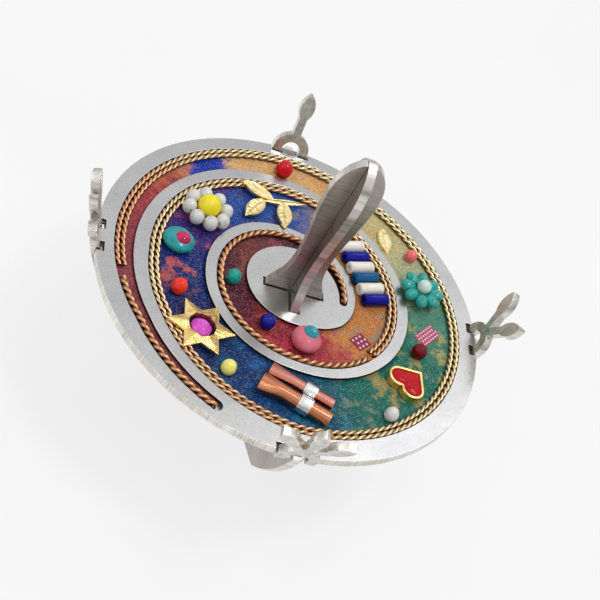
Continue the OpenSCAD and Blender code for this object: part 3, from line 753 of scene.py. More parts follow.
def glazed(
        name, colour, shade, size=0.9 * MM, low=0.1, high=0.26, coat=0.25, specular=0.3, transmission=0.0,
        foot=0.0, bloom=0.05):
    """Glossy bead or stone with a drifting tone and tiny pits, and painted shade that may darken it towards
    the floor.
    """
    material, tree, shader = finish(
        name, coat_weight=coat, coat_roughness=0.06, specular_ior_level=specular,
        transmission_weight=transmission,
    )
    coords = object_coords(tree)
    drift = grain(tree, coords, size)
    pits = grain(tree, coords, 0.12 * MM, 2.0)
    tone = shades(tree, drift, colour, (0.3, shade), 0.5, (0.74, bloom))
    if foot:
        # Painted shade: the colour darkens towards the floor, up to the given height
        depth = spread(tree, axis_of(tree, coords, "Z"), FLOOR_Z, FLOOR_Z + foot, 0.85, 0.0)
        tone = mixed(tree, depth, tone, toned(colour, 0.12))
    surface(tree, shader, tone, pits, low, high, pits, 0.004 * MM, (0.35, 0.7))
    return material


# Clear glass of the dark beads and of the coloured bugles, with painted shade towards the floor
GLASS = {"low": 0.03, "high": 0.08, "coat": 0.0, "bloom": 0.01}
BEAD_GLASS = {**GLASS, "specular": 0.2, "transmission": 0.3, "foot": 1.6 * MM}
BUGLE_GLASS = {**GLASS, "specular": 0.16, "transmission": 0.1, "foot": 1.7 * MM}


def cast_gold(name, colour, size, depth, low=0.2, high=0.42):
    """Cast and plated gold with worn spots."""
    material, tree, shader = finish(name, metallic=1.0)
    coords = object_coords(tree)
    dents = grain(tree, coords, size)
    worn = grain(tree, coords, 1.1 * MM, 4.0)
    tone = shades(tree, worn, colour, (0.28, 0.55), 0.48, (0.72, 0.35))
    surface(tree, shader, tone, worn, low, high, dents, depth)
    return material


def rolled_sheet(name, colour, angle):
    """Polished sheet with drawing lines along a tube and dark stains."""
    material, tree, shader = finish(name, metallic=1.0)
    lines = grain(tree, object_coords(tree, lengthwise("X", 50, 2600), -angle), 1.0)
    stain = grain(tree, object_coords(tree), 1.8 * MM, 4.0)
    tone = shades(tree, lines, colour, (0.3, 0.88), 0.55, (0.72, 0.12))
    dull = mixed(tree, spread(tree, stain, 0.55, 0.78, 0.0, 0.45), tone, toned(colour, 0.35))
    surface(tree, shader, dull, lines, 0.14, 0.24, lines, 0.002 * MM)
    return material


def matte_print(name, colour):
    """Slightly shiny cloth-like ground of a patch."""
    material, tree, shader = finish(name)
    weave = grain(tree, object_coords(tree), 0.15 * MM)
    tone = tones(tree, weave, colour, (0.3, 0.6), (0.7, 1.3))
    surface(tree, shader, tone, weave, 0.45, 0.7, weave, 0.02 * MM)
    return material


def glitter_paint(name, looks):
    """Paint that runs through many colours along the channel, with patches, grain and glitter flecks."""
    material, tree, shader = finish(name, specular_ior_level=0.14)
    uv = tree.nodes.new("ShaderNodeUVMap").outputs["UV"]
    coords = object_coords(tree)
    drift = grain(tree, coords, 3.0 * MM, 4.0)
    place = calc(tree, "ADD", axis_of(tree, uv, "X"), spread(tree, drift, 0.25, 0.75, -0.008, 0.008))
    ground, second = (
        ramp(tree, place, [(turn / CHANNEL_END, seen(*tone)) for turn, tone in table])
        for table in (PAINT_GROUND, PAINT_PATCHES)
    )
    patch = grain(tree, coords, looks.patch_size, 6.0, 0.62)
    colour = mixed(tree, spread(tree, patch, 0.52, 0.6, 0.0, 0.9), ground, second)
    dust = grain(tree, coords, 2 * looks.fleck_size, 4.0, 0.75)
    dusty = ramp(tree, dust, [(0.32, (0.3, 0.3, 0.32, 1)), (0.64, WHITE)])
    colour = mixed(tree, 1.0, colour, dusty, "MULTIPLY")
    fleck = cells(tree, coords, looks.fleck_size)
    bright = mixed(tree, 0.4, colour, (1.0, 0.96, 0.86, 1.0))
    colour = mixed(tree, spread(tree, fleck, 0.82, 0.96, 0.0, 0.45), colour, bright)
    surface(tree, shader, colour, fleck, 0.55, 0.28, dust, 0.03 * MM, (0.3, 0.95))
    join(tree, shader, metallic=spread(tree, fleck, 0.7, 0.95, 0.0, 0.25))
    return material


class DreidelStage(bpy.types.Operator):
    """Sets the camera, the pale floor and the soft light"""

    bl_idname = "dreidel.stage"
    bl_label = "Stage"

    def execute(self, context):
        scene = context.scene
        looks = scene.dreidel_stage
        self.aim_camera(scene, looks)
        self.lay_floor(scene, looks)
        self.light_sky(scene, looks)
        for kind in ("key", "top", "fill"):
            self.hang_lamp(scene, looks, kind)
        scene.view_settings.view_transform = "Standard"
        return {"FINISHED"}

    def facing(self, place, aim):
        """Matrix of something at a place that looks at a point."""
        place = Vector(place)
        gaze = (Vector(aim) - place).to_track_quat("-Z", "Y").to_matrix().to_4x4()
        return Matrix.Translation(place) @ gaze

    def aim_camera(self, scene, looks):
        """Camera at its place, turned to its aim and rolled."""
        data = bpy.data.cameras.new("camera")
        data.sensor_width = 36.0
        data.lens = looks.camera_lens
        data.clip_start = 0.01
        data.clip_end = 20.0
        camera = bpy.data.objects.new("camera", data)
        roll = Matrix.Rotation(looks.camera_roll, 4, "Z")
        camera.matrix_world = self.facing(looks.camera_place, looks.camera_aim) @ roll
        scene.collection.objects.link(camera)
        scene.camera = camera

    def background_rays(self, tree):
        """1 for the rays that show the background: straight, in gloss and through glass."""
        path = tree.nodes.new("ShaderNodeLightPath")
        shown = calc(tree, "MAXIMUM", path.outputs["Is Camera Ray"], path.outputs["Is Glossy Ray"])
        return calc(tree, "MAXIMUM", shown, path.outputs["Is Transmission Ray"])

    def lay_floor(self, scene, looks):
        """Plain pale floor under the tip, which keeps the shadow."""
        shape = bmesh.new()
        bmesh.ops.create_grid(shape, x_segments=1, y_segments=1, size=looks.floor_size)
        mesh = bpy.data.meshes.new("floor")
        shape.to_mesh(mesh)
        shape.free()
        material, tree, shader = finish("pale_floor", roughness=0.9, specular_ior_level=0.0)
        tooth = grain(tree, object_coords(tree), 40 * MM, 2.0)
        tone = tones(tree, tooth, looks.floor_colour, (0.3, 0.985), (0.7, 1.0))
        join(tree, shader, base_color=tone)
        glow = add(tree, "ShaderNodeEmission", {"Color": tone, "Strength": 1.0}).outputs[0]
        share = calc(tree, "MULTIPLY", self.background_rays(tree), looks.floor_glow)
        both = add(tree, "ShaderNodeMixShader", {0: share, 1: shader.outputs[0], 2: glow}).outputs[0]
        tree.links.new(both, tree.nodes["Material Output"].inputs["Surface"])
        mesh.materials.append(material)
        floor = bpy.data.objects.new("floor", mesh)
        scene.collection.objects.link(floor)

    def light_sky(self, scene, looks):
        """Soft light from all round, brighter from above, behind a white background."""
        world = bpy.data.worlds.new("studio")
        scene.world = world
        world.use_nodes = True
        tree = world.node_tree
        coords = tree.nodes.new("ShaderNodeTexCoord").outputs["Generated"]
        height = axis_of(tree, coords, "Z")
        low_level = 0.6 * looks.sky_level
        high_level = 1.3 * looks.sky_level
        level = spread(tree, height, -0.2, 1.0, low_level, high_level)
        gloss = tree.nodes.new("ShaderNodeLightPath").outputs["Is Glossy Ray"]
        dim = spread(tree, height, 0.0, 0.65, 0.25, 1.0)
        pale = blended(tree, gloss, 1.0, dim)
        strength = blended(tree, self.background_rays(tree), level, pale)
        backdrop = tree.nodes["Background"]
        tree.links.new(strength, backdrop.inputs["Strength"])
        backdrop.inputs["Color"].default_value = looks.sky_colour

    def hang_lamp(self, scene, looks, kind):
        """Soft square lamp that faces the disc."""
        data = bpy.data.lights.new(f"{kind}_light", "AREA")
        data.shape = "SQUARE"
        data.size = getattr(looks, f"{kind}_size")
        data.energy = getattr(looks, f"{kind}_power")
        lamp = bpy.data.objects.new(f"{kind}_light", data)
        lamp.matrix_world = self.facing(getattr(looks, f"{kind}_place"), looks.camera_aim)
        scene.collection.objects.link(lamp)


class DreidelSteel(bpy.types.Operator):
    """Makes the disc, the crossed stem plates and the marks of sheet steel with rounded cut edges"""

    bl_idname = "dreidel.steel"
    bl_label = "Steel plates"

    def execute(self, context):
        looks = context.scene.dreidel_steel
        grained = grained_steel("grained_steel", looks.disc_colour, looks.grain_size)
        rim = brushed_steel("disc_edge_steel", looks.edge_colour, lengthwise("Z", 90, 4500))
        # The cut walls of the channel and the slots are painted dark as the shade in these recesses
        shaded = brushed_steel("channel_wall_steel", looks.wall_colour, lengthwise("Z", 90, 1200), 0.4, 0.6)
        for node in ("base_disc", "spiral_plate"):
            self.sheet(node, "disc_steel", looks, grained, rim, shaded)
        stem = brushed_steel("stem_face_steel", looks.stem_colour, lengthwise("XY", 70, 5200))
        for node, axis in (("stem_plate_across", "Y"), ("stem_plate_along", "X")):
            cut = lengthwise(axis, 60, 3800)
            edge = brushed_steel(f"{node}_edge_steel", looks.edge_colour, cut, 0.3, 0.44, 0.8)
            self.sheet(node, "stem_steel", looks, stem, edge)
        mark = brushed_steel("mark_face_steel", looks.mark_colour, (900, 900, 900), 0.26, 0.46)
        for node, axis in (("mark_one", "Y"), ("mark_two", "X"), ("mark_three", "Y"), ("mark_four", "X")):
            edge = brushed_steel(f"{node}_edge_steel", looks.edge_colour, lengthwise(axis, 90, 4200))
            self.sheet(node, "mark_steel", looks, mark, edge)
        return {"FINISHED"}

    def sheet(self, node, slot, looks, *finishes):
        """Sheet-metal piece with finishes for its faces, its cut edges and any cuts inside the disc's rim,
        which are painted dark as the shade in those recesses.
        """
        shape = cad_copy(node)
        facing = max(shape.faces, key=lambda face: face.calc_area()).normal.copy()
        soften(shape, looks.edge_round)
        shape.normal_update()
        inside_r = 0.985 * DISC_R
        for face in shape.faces:
            leaning = abs(face.normal.dot(facing))
            inside = face.calc_center_median().xy.length < inside_r
            face.material_index = 0 if leaning > 0.98 else 1
            # Cut walls inside the rim take the dark finish, a painted shade of the recess
            if len(finishes) == 3 and leaning < 0.5 and inside:
                face.material_index = 2
        made = piece(f"{node}_sheet", shape, [node], finishes)
        weighted = made.modifiers.new("even_faces", "WEIGHTED_NORMAL")
        weighted.keep_sharp = True


class DreidelPaint(bpy.types.Operator):
    """Lays the glitter paint along the floor of the channel"""

    bl_idname = "dreidel.paint"
    bl_label = "Paint"

    def execute(self, context):
        looks = context.scene.dreidel_paint
        steps = 1000
        rows = 10
        body_share = 0.7
        shape = bmesh.new()
        layer = shape.loops.layers.uv.new("UVMap")
        bmesh.ops.create_grid(shape, x_segments=steps, y_segments=rows, size=0.5)
        for face in shape.faces:
            for loop in face.loops:
                loop[layer].uv = (loop.vert.co.x + 0.5, loop.vert.co.y + 0.5)
        for vert in shape.verts:
            vert.co = self.paint_point(vert.co.x + 0.5, vert.co.y * 2, looks.relief)
        bmesh.ops.recalc_face_normals(shape, faces=shape.faces)
        if sum(face.normal.z for face in shape.faces) < 0:
            bmesh.ops.reverse_faces(shape, faces=shape.faces)
        paint = glitter_paint("glitter_paint", looks)
        made = piece("glitter_paint", shape, ["enamel_inlay"], [paint])
        body = made.modifiers.new("body", "SOLIDIFY")
        body.thickness = PAINT_T * body_share
        body.offset = -1.0
        return {"FINISHED"}

    def paint_point(self, along, across, depth):
        """Point of the paint, which creeps up a little at both walls."""
        edge_gap = 0.02 * MM
        creep_height = 0.12 * MM
        turn = along * CHANNEL_END
        outer = outer_wall(turn)
        inner = inner_wall(turn)
        middle = (outer + inner) / 2
        to_end = math.radians(min(turn, CHANNEL_END - turn)) * middle
        place = at_turn(turn, middle + across * ((outer - inner) / 2 - edge_gap), FLOOR_Z)
        ripple = noise.noise(place / (1.6 * MM)) * 0.6 + noise.noise(place / (0.6 * MM)) * 0.4
        creep = creep_height * eased((abs(across) - 0.8) / 0.2)
        place.z += depth * ripple * 0.5 + creep * eased(to_end / MM)
        return place


class DreidelRopes(bpy.types.Operator):
    """Twists the copper and gold wire ropes along the outer wall"""

    bl_idname = "dreidel.ropes"
    bl_label = "Wire ropes"

    def execute(self, context):
        looks = context.scene.dreidel_wire
        gold = looks.gold_colour
        copper = looks.copper_colour
        # The dark core is patina that also serves as painted shade between the strands
        core = patina_and_gap_shade("wire_patina", looks.patina_and_gap_shade_colour)
        pale = drawn_wire("gold_wire", gold, copper, toned(copper, 0.45), GOLD_ROPE_D)
        rose = drawn_wire("copper_wire", copper, toned(copper, 0.8), toned(copper, 0.4), COPPER_ROPE_D)
        single = ("copper_wire", COPPER_ROPE_D, looks.copper_pitch, [rose, core])
        double = ("gold_wire", GOLD_ROPE_D, looks.gold_pitch, [pale, core])
        self.rope("copper_rope_outer", OUTER_COPPER_SPAN, WALL_GAP, *single)
        self.rope("copper_rope_inner", INNER_COPPER_SPAN, WALL_GAP, *single)
        self.rope("gold_rope_wall", GOLD_SPAN, WALL_GAP, *double)
        self.rope("gold_rope_second", GOLD_SPAN, WALL_GAP * 2 + GOLD_ROPE_D, *double)
        return {"FINISHED"}

    def strand(self, span, aside, rise, pitch, phase=0.0, offset=0.0):
        """Points of a strand that winds round a line along the outer wall."""
        def centre(turn):
            return at_turn(turn, outer_wall(turn) - aside, FLOOR_Z + rise)

        points = []
        turn, end = span
        wound = phase
        last = centre(turn)
        while turn <= end:
            middle = centre(turn)
            wound -= math.tau * (middle - last).length / pitch
            last = middle
            outward = at_turn(turn, 1.0, 0.0)
            upward = Vector((0, 0, 1))
            points.append(middle + offset * (outward * math.cos(wound) + upward * math.sin(wound)))
            turn += math.degrees(STRAND_STEP / middle.xy.length)
        return points

    def rope(self, node, span, gap, slot, width, pitch, materials):
        """Rope of two strands round a dark core, whose patina also serves as painted shade in the gaps
        between them.
        """
        strand_r = STRAND_SHARE * width
        offset = TWIST_SHARE * width - strand_r
        place = (span, gap + width / 2, width / 2 * LYING_SHARE, pitch)
        lines = (
            (self.strand(*place, 0.0, offset), strand_r, 0),
            (self.strand(*place, math.pi, offset), strand_r, 0),
            (self.strand(*place), CORE_SHARE * width, 1),
        )
        shape = bmesh.new()
        for points, radius, finish_index in lines:
            mesh = tube_along(points, radius)
            before = len(shape.faces)
            shape.from_mesh(mesh)
            bpy.data.meshes.remove(mesh)
            shape.faces.ensure_lookup_table()
            for face in shape.faces[before:]:
                face.material_index = finish_index
        made = piece(f"{node}_strands", shape, [node], materials, sharp=60)
        drift = made.data.attributes.new("along", "FLOAT", "POINT")
        for vert in made.data.vertices:
            drift.data[vert.index].value = self.warmth(vert.co, *span)

    def warmth(self, place, start, end):
        """How far the gold has worn to copper at a point of the rope, from 0 to 1."""
        margin = 2
        base = (CHANNEL_START - math.degrees(math.atan2(place.y, place.x))) % 360
        laps = [base + 360 * lap for lap in range(3)]
        choices = [turn for turn in laps if start - margin <= turn <= end + margin] or [start]
        nearest = min(choices, key=lambda turn: abs(outer_wall(turn) - place.xy.length))
        return between(nearest, ROPE_WARMTH)


class DreidelBeads(bpy.types.Operator):
    """Sets the eight loose beads on the paint"""

    bl_idname = "dreidel.beads"
    bl_label = "Beads"

    def execute(self, context):
        looks = context.scene.dreidel_beads
        matte = {"coat": 0.15, "low": 0.3, "high": 0.5}
        beads = (
            ("red_bead", "red_bead", "red_glass", looks.red_colour, 0.75, BEAD_GLASS),
            ("salmon_bead", "salmon_bead", "salmon_bead", looks.salmon_colour, 0.7, {}),
            ("garnet_bead", "garnet_bead", "garnet_glass", looks.garnet_colour, 0.75, BEAD_GLASS),
            ("white_pearl", "pearl", "white_pearl", looks.pearl_colour, 0.8, {}),
            ("yellow_bead", "yellow_bead", "yellow_bead", looks.yellow_colour, 0.75, matte),
            ("coral_bead", "coral_bead", "coral_bead", looks.coral_colour, 0.75, {"coat": 0.1}),
            ("blue_bead", "blue_bead", "blue_glass", looks.blue_colour, 0.75, BEAD_GLASS),
            ("turquoise_bead", "turquoise_bead", "turquoise_bead", looks.turquoise_colour, 0.6, {}),
        )
        for seed, (node, place, slot, colour, shade, values) in enumerate(beads):
            gloss = glazed(f"{node}_finish", colour, shade, **values)
            aside = PLACES[place][0] - CHANNEL_START + 12 * math.sin(seed)
            shape = ball(*width_height(node), hole=0.16, hole_turn=aside, seed=seed)
            shape.transform(on_floor(place, False))
            piece(f"{node}_round", shape, [node], [gloss], sharp=70)
        return {"FINISHED"}


class DreidelBugles(bpy.types.Operator):
    """Lays the row of six tube-shaped bugles"""

    bl_idname = "dreidel.bugles"
    bl_label = "Bugles"

    def execute(self, context):
        looks = context.scene.dreidel_beads
        row = ("white_bugle", "blue_bugle", "white_bugle", "teal_bugle", "white_bugle", "blue_bugle")
        kinds = (
            ("white_bugles", "white_bugle", "ivory_glass", looks.ivory_colour, 0.9, {}),
            ("blue_bugles", "blue_bugle", "blue_bugle_glass", looks.bugle_blue_colour, 0.8, BUGLE_GLASS),
            ("teal_bugle", "teal_bugle", "teal_bugle_glass", looks.bugle_teal_colour, 0.8, BUGLE_GLASS),
        )
        width = looks.bugle_width
        step = width + looks.bugle_gap
        lift = width / 2 * LYING_SHARE
        outline = tube_outline(looks.bugle_length, width, looks.bugle_bore, 0.22 * MM)
        for node, slot, name, colour, shade, values in kinds:
            gloss = glazed(name, colour, shade, 2 * MM, **values)
            shape = bmesh.new()
            for index in [place for place, kind in enumerate(row) if kind == slot]:
                tube = spun_tube(outline)
                uneven(tube, 0.8 * MM, 0.03 * MM, index)
                aside = ((len(row) - 1) / 2 - index) * step
                put(shape, tube, on_floor("bugles") @ moved(0, aside, lift))
            piece(f"{node}_tubes", shape, [node], [gloss], sharp=50)
        return {"FINISHED"}


class DreidelFlowers(bpy.types.Operator):
    """Sets the turquoise flower and the pearl flower"""

    bl_idname = "dreidel.flowers"
    bl_label = "Bead flowers"

    def execute(self, context):
        looks = context.scene.dreidel_beads
        teal = glazed("turquoise_petal_finish", looks.turquoise_colour, 0.55, coat=0.5, low=0.06, high=0.18)
        mint = glazed("mint_bead_finish", looks.mint_colour, 0.86)
        pearl = glazed("pearl_petal_finish", looks.pearl_colour, 0.78, coat=0.8, low=0.12, high=0.24)
        lemon = glazed("lemon_bead_finish", looks.lemon_colour, 0.82, coat=0.4)
        shape = self.oval_petals(looks.turquoise_reach)
        piece("turquoise_flower_petals", shape, ["turquoise_petals"], [teal], sharp=70)
        self.raised_bead("turquoise_flower", "pale_bead", mint, 4)
        shape = self.pearl_petals(looks.pearl_reach)
        piece("pearl_flower_petals", shape, ["pearl_petals"], [pearl], sharp=70)
        self.raised_bead("pearl_flower", "amber_bead", lemon, 6)
        return {"FINISHED"}

    def oval_petals(self, reach):
        """Ring of oval beads that fill the room round the middle and lift a little outwards."""
        plumpness = 1.15
        lift = turned(-9, "Y")
        length = reach - width_height("turquoise_flower_eye")[0] / 2
        middle = reach - length / 2
        width = 2 * math.tan(math.pi / PETALS) * math.sqrt(middle ** 2 - length ** 2 / 4)
        shape = bmesh.new()
        for index in range(PETALS):
            petal = ball(1.0, 1.0, -80.0, seed=index, wobble=0.02)
            petal.transform(scaled(length, plumpness * width, width))
            place = on_floor("turquoise_flower") @ turned((2 * index + 1) * 180 / PETALS)
            put(shape, petal, place @ moved(middle, 0, ROPE_TOP) @ lift)
        return shape

    def pearl_petals(self, reach):
        """Ring of pearls that almost touch."""
        gap = 0.05 * MM
        slant = math.sin(math.pi / PETALS)
        ring_r = reach / (1 + slant)
        width = 2 * ring_r * slant - gap
        shape = bmesh.new()
        for index in range(PETALS):
            petal = ball(width, width, hole=0.12, hole_turn=90.0, seed=index + 9, wobble=0.02)
            place = on_floor("pearl_flower") @ turned(index * 360 / PETALS)
            put(shape, petal, place @ moved(ring_r, 0, ROPE_TOP))
        return shape

    def raised_bead(self, flower, slot, gloss, seed):
        """Round bead in the middle, on a short peg that lifts it over the petals."""
        node = f"{flower}_eye"
        width, height = width_height(node)
        rise = height - width
        peg_l = rise + 0.3 * width
        shape = bmesh.new()
        peg = bmesh.new()
        bmesh.ops.create_cone(
            peg, cap_ends=True, cap_tris=False, segments=24, radius1=0.36 * width, radius2=0.3 * width,
            depth=peg_l,
        )
        put(shape, peg, moved(0, 0, peg_l / 2))
        put(shape, ball(width, width, -65.0, seed=seed), moved(0, 0, rise))
        shape.transform(on_floor(flower))
        piece(f"{flower}_middle", shape, [node], [gloss], sharp=70)


class DreidelStones(bpy.types.Operator):
    """Sets the two cabochons with their small stones"""

    bl_idname = "dreidel.stones"
    bl_label = "Cabochons"

    def execute(self, context):
        looks = context.scene.dreidel_charms
        teal = glazed(
            "turquoise_stone_finish", looks.cabochon_colour, 0.7, 2 * MM, coat=0.35, low=0.12, high=0.24,
        )
        rose = glazed("rose_stone_finish", looks.pink_colour, 0.82, 2 * MM, coat=0.1, low=0.32, high=0.46)
        ruby = glazed("magenta_stone_finish", looks.magenta_colour, 0.6, coat=0.3, low=0.1, high=0.2)
        cyan = glazed(
            "crystal_finish", looks.crystal_colour, 0.55, coat=0.4, low=0.03, high=0.08, transmission=0.3,
        )
        for node, slot, gloss, seed in (
                ("turquoise_cabochon", "turquoise_stone", teal, 3), ("pink_cabochon", "pink_stone", rose, 5)):
            shape = ball(*width_height(node), seed=seed, wobble=0.008)
            shape.transform(on_floor(node))
            piece(f"{node}_dome", shape, [node], [gloss], sharp=70)
        round_stone = ball(*width_height("magenta_stone"), -10.0, seed=2, wobble=0.01)
        self.set_stone("magenta_stone", "magenta_stone", round_stone, ruby, 70)
        cut_stone = gem(*width_height("crystal_stone"), 0.55, 10, 0.5)
        self.set_stone("crystal_stone", "crystal", cut_stone, cyan, 25)
        return {"FINISHED"}

    def set_stone(self, node, slot, shape, gloss, sharp):
        """Small stone sunk into a dome."""
        low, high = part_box(node)
        middle = (low + high) / 2
        shape.transform(moved(middle.x, middle.y, low.z))
        piece(f"{node}_set", shape, [node], [gloss], sharp=sharp)


class DreidelStar(bpy.types.Operator):
    """Makes the hammered gold star with its violet stone"""

    bl_idname = "dreidel.star"
    bl_label = "Star"

    def execute(self, context):
        looks = context.scene.dreidel_charms
        gold = cast_gold("hammered_gold", looks.gold_colour, 0.4 * MM, 0.16 * MM, 0.14, 0.32)
        violet = glazed("violet_stone_finish", looks.violet_colour, 0.7, coat=1.0, low=0.05, high=0.12)
        shape = self.star(looks, width_height("star_charm")[1])
        shape.transform(on_floor("star") @ moved(0, 0, ROPE_TOP))
        piece("star_charm_hammered", shape, ["star_charm"], [gold], sharp=30)
        width, height = width_height("star_stone")
        stone = gem(looks.star_stone_share * width, height, 0.6, 16, 0.6)
        stone.transform(on_floor("star"))
        piece("star_stone_cut", stone, ["star_stone"], [violet], sharp=20)
        return {"FINISHED"}

    def star(self, looks, thickness):
        """Six-pointed star with a ridge along each point and a round hole."""
        corners = 12

        def at_tip(vert):
            return round(math.atan2(vert.co.y, vert.co.x) / math.tau * corners) % 2 == 0

        shape = bmesh.new()
        rings = (
            (looks.star_tip_radius, looks.star_notch_radius),
            (looks.star_hole_radius, looks.star_hole_radius),
        )
        for tip_r, notch_r in rings:
            for vert in bmesh.ops.create_circle(shape, segments=corners, radius=1.0)["verts"]:
                angle = math.atan2(vert.co.y, vert.co.x)
                radius = tip_r if at_tip(vert) else notch_r
                vert.co = Vector((radius * math.cos(angle), radius * math.sin(angle), 0))
        bmesh.ops.bridge_loops(shape, edges=shape.edges[:])
        grown = bmesh.ops.extrude_face_region(shape, geom=shape.faces[:])
        for vert in grown["geom"]:
            if isinstance(vert, bmesh.types.BMVert):
                near = vert.co.length < looks.star_hole_radius * 1.1
                tip_share, notch_share = (1.0, 0.72) if near else (0.5, 0.42)
                vert.co.z = thickness * (tip_share if at_tip(vert) else notch_share)
        bmesh.ops.recalc_face_normals(shape, faces=shape.faces)
        bmesh.ops.subdivide_edges(shape, edges=shape.edges[:], cuts=5, use_grid_fill=True)
        bmesh.ops.triangulate(shape, faces=[face for face in shape.faces if len(face.verts) > 4])
        for vert in shape.verts:
            if vert.co.z > 0.05 * thickness:
                vert.co.z -= looks.hammer_depth * abs(noise.noise(vert.co / (0.9 * MM)))
        return shape


class DreidelHeart(bpy.types.Operator):
    """Makes the gold heart frame with its red enamel"""

    bl_idname = "dreidel.heart"
    bl_label = "Heart"

    def execute(self, context):
        looks = context.scene.dreidel_charms
        gold = cast_gold("heart_gold", looks.gold_colour, 0.5 * MM, 0.012 * MM)
        red = glazed(
            "heart_enamel_finish", looks.enamel_colour, 0.85, 2 * MM, coat=0.0, low=0.04, high=0.1,
            specular=0.16, bloom=0.02,
        )
        shape = cad_copy("heart_frame")
        soften(shape, 0.17 * MM, segments=4)
        piece("heart_frame_rounded", shape, ["heart_frame"], [gold], sharp=60)
        shape = cad_copy("heart_enamel")
        top = [face for face in shape.faces if face.normal.z > 0.9]
        for inwards, upwards in ((0.45 * MM, 0.12 * MM), (0.5 * MM, 0.08 * MM)):
            bmesh.ops.inset_region(shape, faces=top, thickness=inwards, depth=upwards, use_even_offset=True)
        piece("heart_enamel_filled", shape, ["heart_enamel"], [red], sharp=60)
        return {"FINISHED"}


class DreidelLeaves(bpy.types.Operator):
    """Makes the gold leaf and the sprig of three leaves"""

    bl_idname = "dreidel.leaves"
    bl_label = "Leaves"

    def execute(self, context):
        looks = context.scene.dreidel_charms
        veins = 7
        thickness = looks.leaf_thickness
        pale = toward(looks.gold_colour, seen(255, 246, 200), 0.4)
        gold = cast_gold("leaf_gold", pale, 0.3 * MM, 0.01 * MM, 0.22, 0.36)
        shape = leaf_shape(*looks.leaf_size, thickness, looks.leaf_relief, veins, 0.08 * MM)
        shape.transform(on_floor("leaf") @ moved(-looks.leaf_size[0] / 2))
        piece("gold_leaf_veined", shape, ["gold_leaf"], [gold], sharp=50)
        stem_l, stem_w = looks.sprig_stem
        twist = PLACES["sprig"][2]
        root = on_floor("sprig", False) @ moved(0, 0, ROPE_TOP) @ turned(twist)
        shape = bmesh.new()
        put(shape, leaf_shape(stem_l, stem_w, thickness, 0.22 * MM, 0, -0.25 * MM), root)
        for share, turn in ((0.82, 73), (1.0, 154), (0.62, -170)):
            leaf = leaf_shape(*looks.sprig_leaf, thickness, looks.leaf_relief, veins, 0.12 * MM)
            put(shape, leaf, root @ moved(stem_l * share - stem_w) @ turned(turn - twist))
        piece("leaf_sprig_veined", shape, ["leaf_sprig"], [gold], sharp=50)
        return {"FINISHED"}


class DreidelTubes(bpy.types.Operator):
    """Rolls the two copper tubes and their silver bands"""

    bl_idname = "dreidel.tubes"
    bl_label = "Copper tubes"

    def execute(self, context):
        looks = context.scene.dreidel_charms
        turn, _, twist = PLACES["tubes"]
        angle = CHANNEL_START - turn + twist
        copper = looks.copper_colour
        rosy = toward(copper, seen(196, 130, 124), 0.7)
        half_step = (looks.tube_gap + (looks.long_tube[1] + looks.short_tube[1]) / 2) / 2
        band_l, band_t = looks.tube_band
        tubes = (
            ("long", *looks.long_tube, -half_step, 0.95, copper),
            ("short", *looks.short_tube, half_step, 0.65, rosy),
        )
        silver = rolled_sheet("silver_band_finish", looks.silver_colour, angle + 90)
        for name, length, width, aside, flare, colour in tubes:
            sheet = rolled_sheet(f"{name}_copper_sheet", colour, angle)
            node = f"{name}_copper_tube"
            place = on_floor("tubes") @ moved(0, aside, (width / 2 + band_t) * LYING_SHARE)
            tube = self.rolled(length, width, looks.tube_wall, flare, aside)
            tube.transform(place)
            piece(f"{node}_rolled", tube, [node], [sheet], sharp=40)
            node = f"{name}_tube_band"
            band = spun_tube(tube_outline(band_l, width + 2 * band_t, width + 0.1 * MM, 0.08 * MM))
            uneven(band, 1.2 * MM, 0.05 * MM, length / MM)
            band.transform(place @ moved(length * looks.band_share))
            piece(f"{node}_bent", band, [node], [silver], sharp=40)
        return {"FINISHED"}

    def rolled(self, length, width, wall, flare, outward):
        """Sheet rolled to a tube with a lapped seam, and with one end that flares most outwards."""
        lap = math.tau * 1.06
        flared_share = 0.35
        inward_flare = 0.5
        shape = bmesh.new()
        bmesh.ops.create_grid(shape, x_segments=36, y_segments=44, size=0.5)
        for vert in shape.verts:
            share = vert.co.x + 0.5
            roll = (vert.co.y + 0.5) * lap
            grow = eased(1 - share / flared_share)
            tall = width / 2 * (1 - 0.12 * grow) - 0.3 * wall * (1 - roll / lap)
            angle = roll + math.pi - 0.5 * (lap - math.tau)
            side = math.sin(angle)
            wide = tall * (1 + grow * (flare if side * outward > 0 else inward_flare))
            vert.co = Vector(((share - 0.5) * length, wide * side, tall * math.cos(angle)))
        bmesh.ops.recalc_face_normals(shape, faces=shape.faces)
        middle = shape.faces[:][len(shape.faces) // 2]
        if middle.normal.dot(Vector((0, *middle.calc_center_median().yz))) < 0:
            bmesh.ops.reverse_faces(shape, faces=shape.faces)
        bmesh.ops.solidify(shape, geom=shape.faces[:], thickness=0.6 * wall)
        return shape


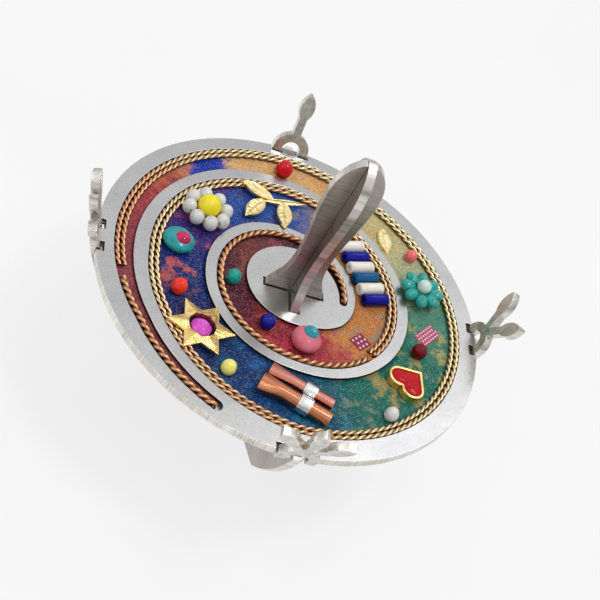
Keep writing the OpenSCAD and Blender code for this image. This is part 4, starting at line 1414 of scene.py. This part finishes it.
class DreidelPatches(bpy.types.Operator):
    """Lays the two dotted patches"""

    bl_idname = "dreidel.patches"
    bl_label = "Dotted patches"

    def execute(self, context):
        looks = context.scene.dreidel_charms
        dots = glazed("patch_dots", looks.dot_colour, 0.85, coat=0.2, low=0.3, high=0.5)
        pale = matte_print("pale_patch_ground", looks.patch_colour)
        dark = matte_print("dark_patch_ground", looks.dark_patch_colour)
        self.patch("pale_dotted_patch", "pale_patch", looks.pale_patch, looks.pale_dots, [pale, dots])
        self.patch("dark_dotted_patch", "dark_patch", looks.dark_patch, looks.dark_dots, [dark, dots])
        return {"FINISHED"}

    def patch(self, node, slot, size, pattern, materials):
        """Thin patch with rows of raised dots."""
        length, width = size
        step, dot = pattern
        thickness = width_height(node)[1]
        ground_share = 0.7
        dot_share = 0.65
        shape = bmesh.new()
        bmesh.ops.create_cube(shape, size=1.0)
        ground = thickness * ground_share
        shape.transform(moved(0, 0, ground / 2) @ scaled(length, width, ground))
        soften(shape, 0.05 * MM)
        columns = int((length - dot) / step)
        rows = int((width - dot) / step)
        for column in range(columns + 1):
            for row in range(rows + 1):
                bead = bmesh.new()
                bmesh.ops.create_icosphere(bead, subdivisions=1, radius=dot / 2)
                bead.transform(scaled(1, 1, 0.7))
                close_seat(bead)
                for face in bead.faces:
                    face.material_index = 1
                shift = 0.25 * step if row % 2 else -0.25 * step
                x = (column - columns / 2) * step + shift
                put(shape, bead, moved(x, (row - rows / 2) * step, thickness * dot_share))
        shape.transform(on_floor(slot))
        piece(f"{node}_printed", shape, [node], materials, sharp=60)


class DreidelPanel(bpy.types.Panel):
    """Lists the steps that dress the dreidel"""

    bl_idname = "VIEW3D_PT_dreidel"
    bl_label = "Dreidel"
    bl_space_type = "VIEW_3D"
    bl_region_type = "UI"
    bl_category = "Dreidel"

    def draw(self, context):
        for step in STEPS:
            self.layout.operator(step.bl_idname)
        for group in GROUPS:
            looks = getattr(context.scene, group)
            box = self.layout.box()
            for name in looks.__annotations__:
                box.prop(looks, name)


GROUPS = {
    "dreidel_steel": SteelLooks,
    "dreidel_paint": PaintLooks,
    "dreidel_wire": WireLooks,
    "dreidel_beads": BeadLooks,
    "dreidel_charms": CharmLooks,
    "dreidel_stage": StageLooks,
}
STEPS = (
    DreidelStage, DreidelSteel, DreidelPaint, DreidelRopes, DreidelBeads, DreidelBugles, DreidelFlowers,
    DreidelStones, DreidelStar, DreidelHeart, DreidelLeaves, DreidelTubes, DreidelPatches,
)


def register():
    """Registers the properties, the steps and the panel."""
    for name, group in GROUPS.items():
        bpy.utils.register_class(group)
        setattr(bpy.types.Scene, name, bpy.props.PointerProperty(type=group))
    for step in STEPS:
        bpy.utils.register_class(step)
    bpy.utils.register_class(DreidelPanel)


def unregister():
    """Takes the panel, the steps and the properties away again."""
    bpy.utils.unregister_class(DreidelPanel)
    for step in reversed(STEPS):
        bpy.utils.unregister_class(step)
    for name, group in reversed(GROUPS.items()):
        delattr(bpy.types.Scene, name)
        bpy.utils.unregister_class(group)


def main():
    """Dresses the dreidel step by step."""
    register()
    bpy.ops.dreidel.stage()
    bpy.ops.dreidel.steel()
    bpy.ops.dreidel.paint()
    bpy.ops.dreidel.ropes()
    bpy.ops.dreidel.beads()
    bpy.ops.dreidel.bugles()
    bpy.ops.dreidel.flowers()
    bpy.ops.dreidel.stones()
    bpy.ops.dreidel.star()
    bpy.ops.dreidel.heart()
    bpy.ops.dreidel.leaves()
    bpy.ops.dreidel.tubes()
    bpy.ops.dreidel.patches()


if __name__ == "__main__":
    main()
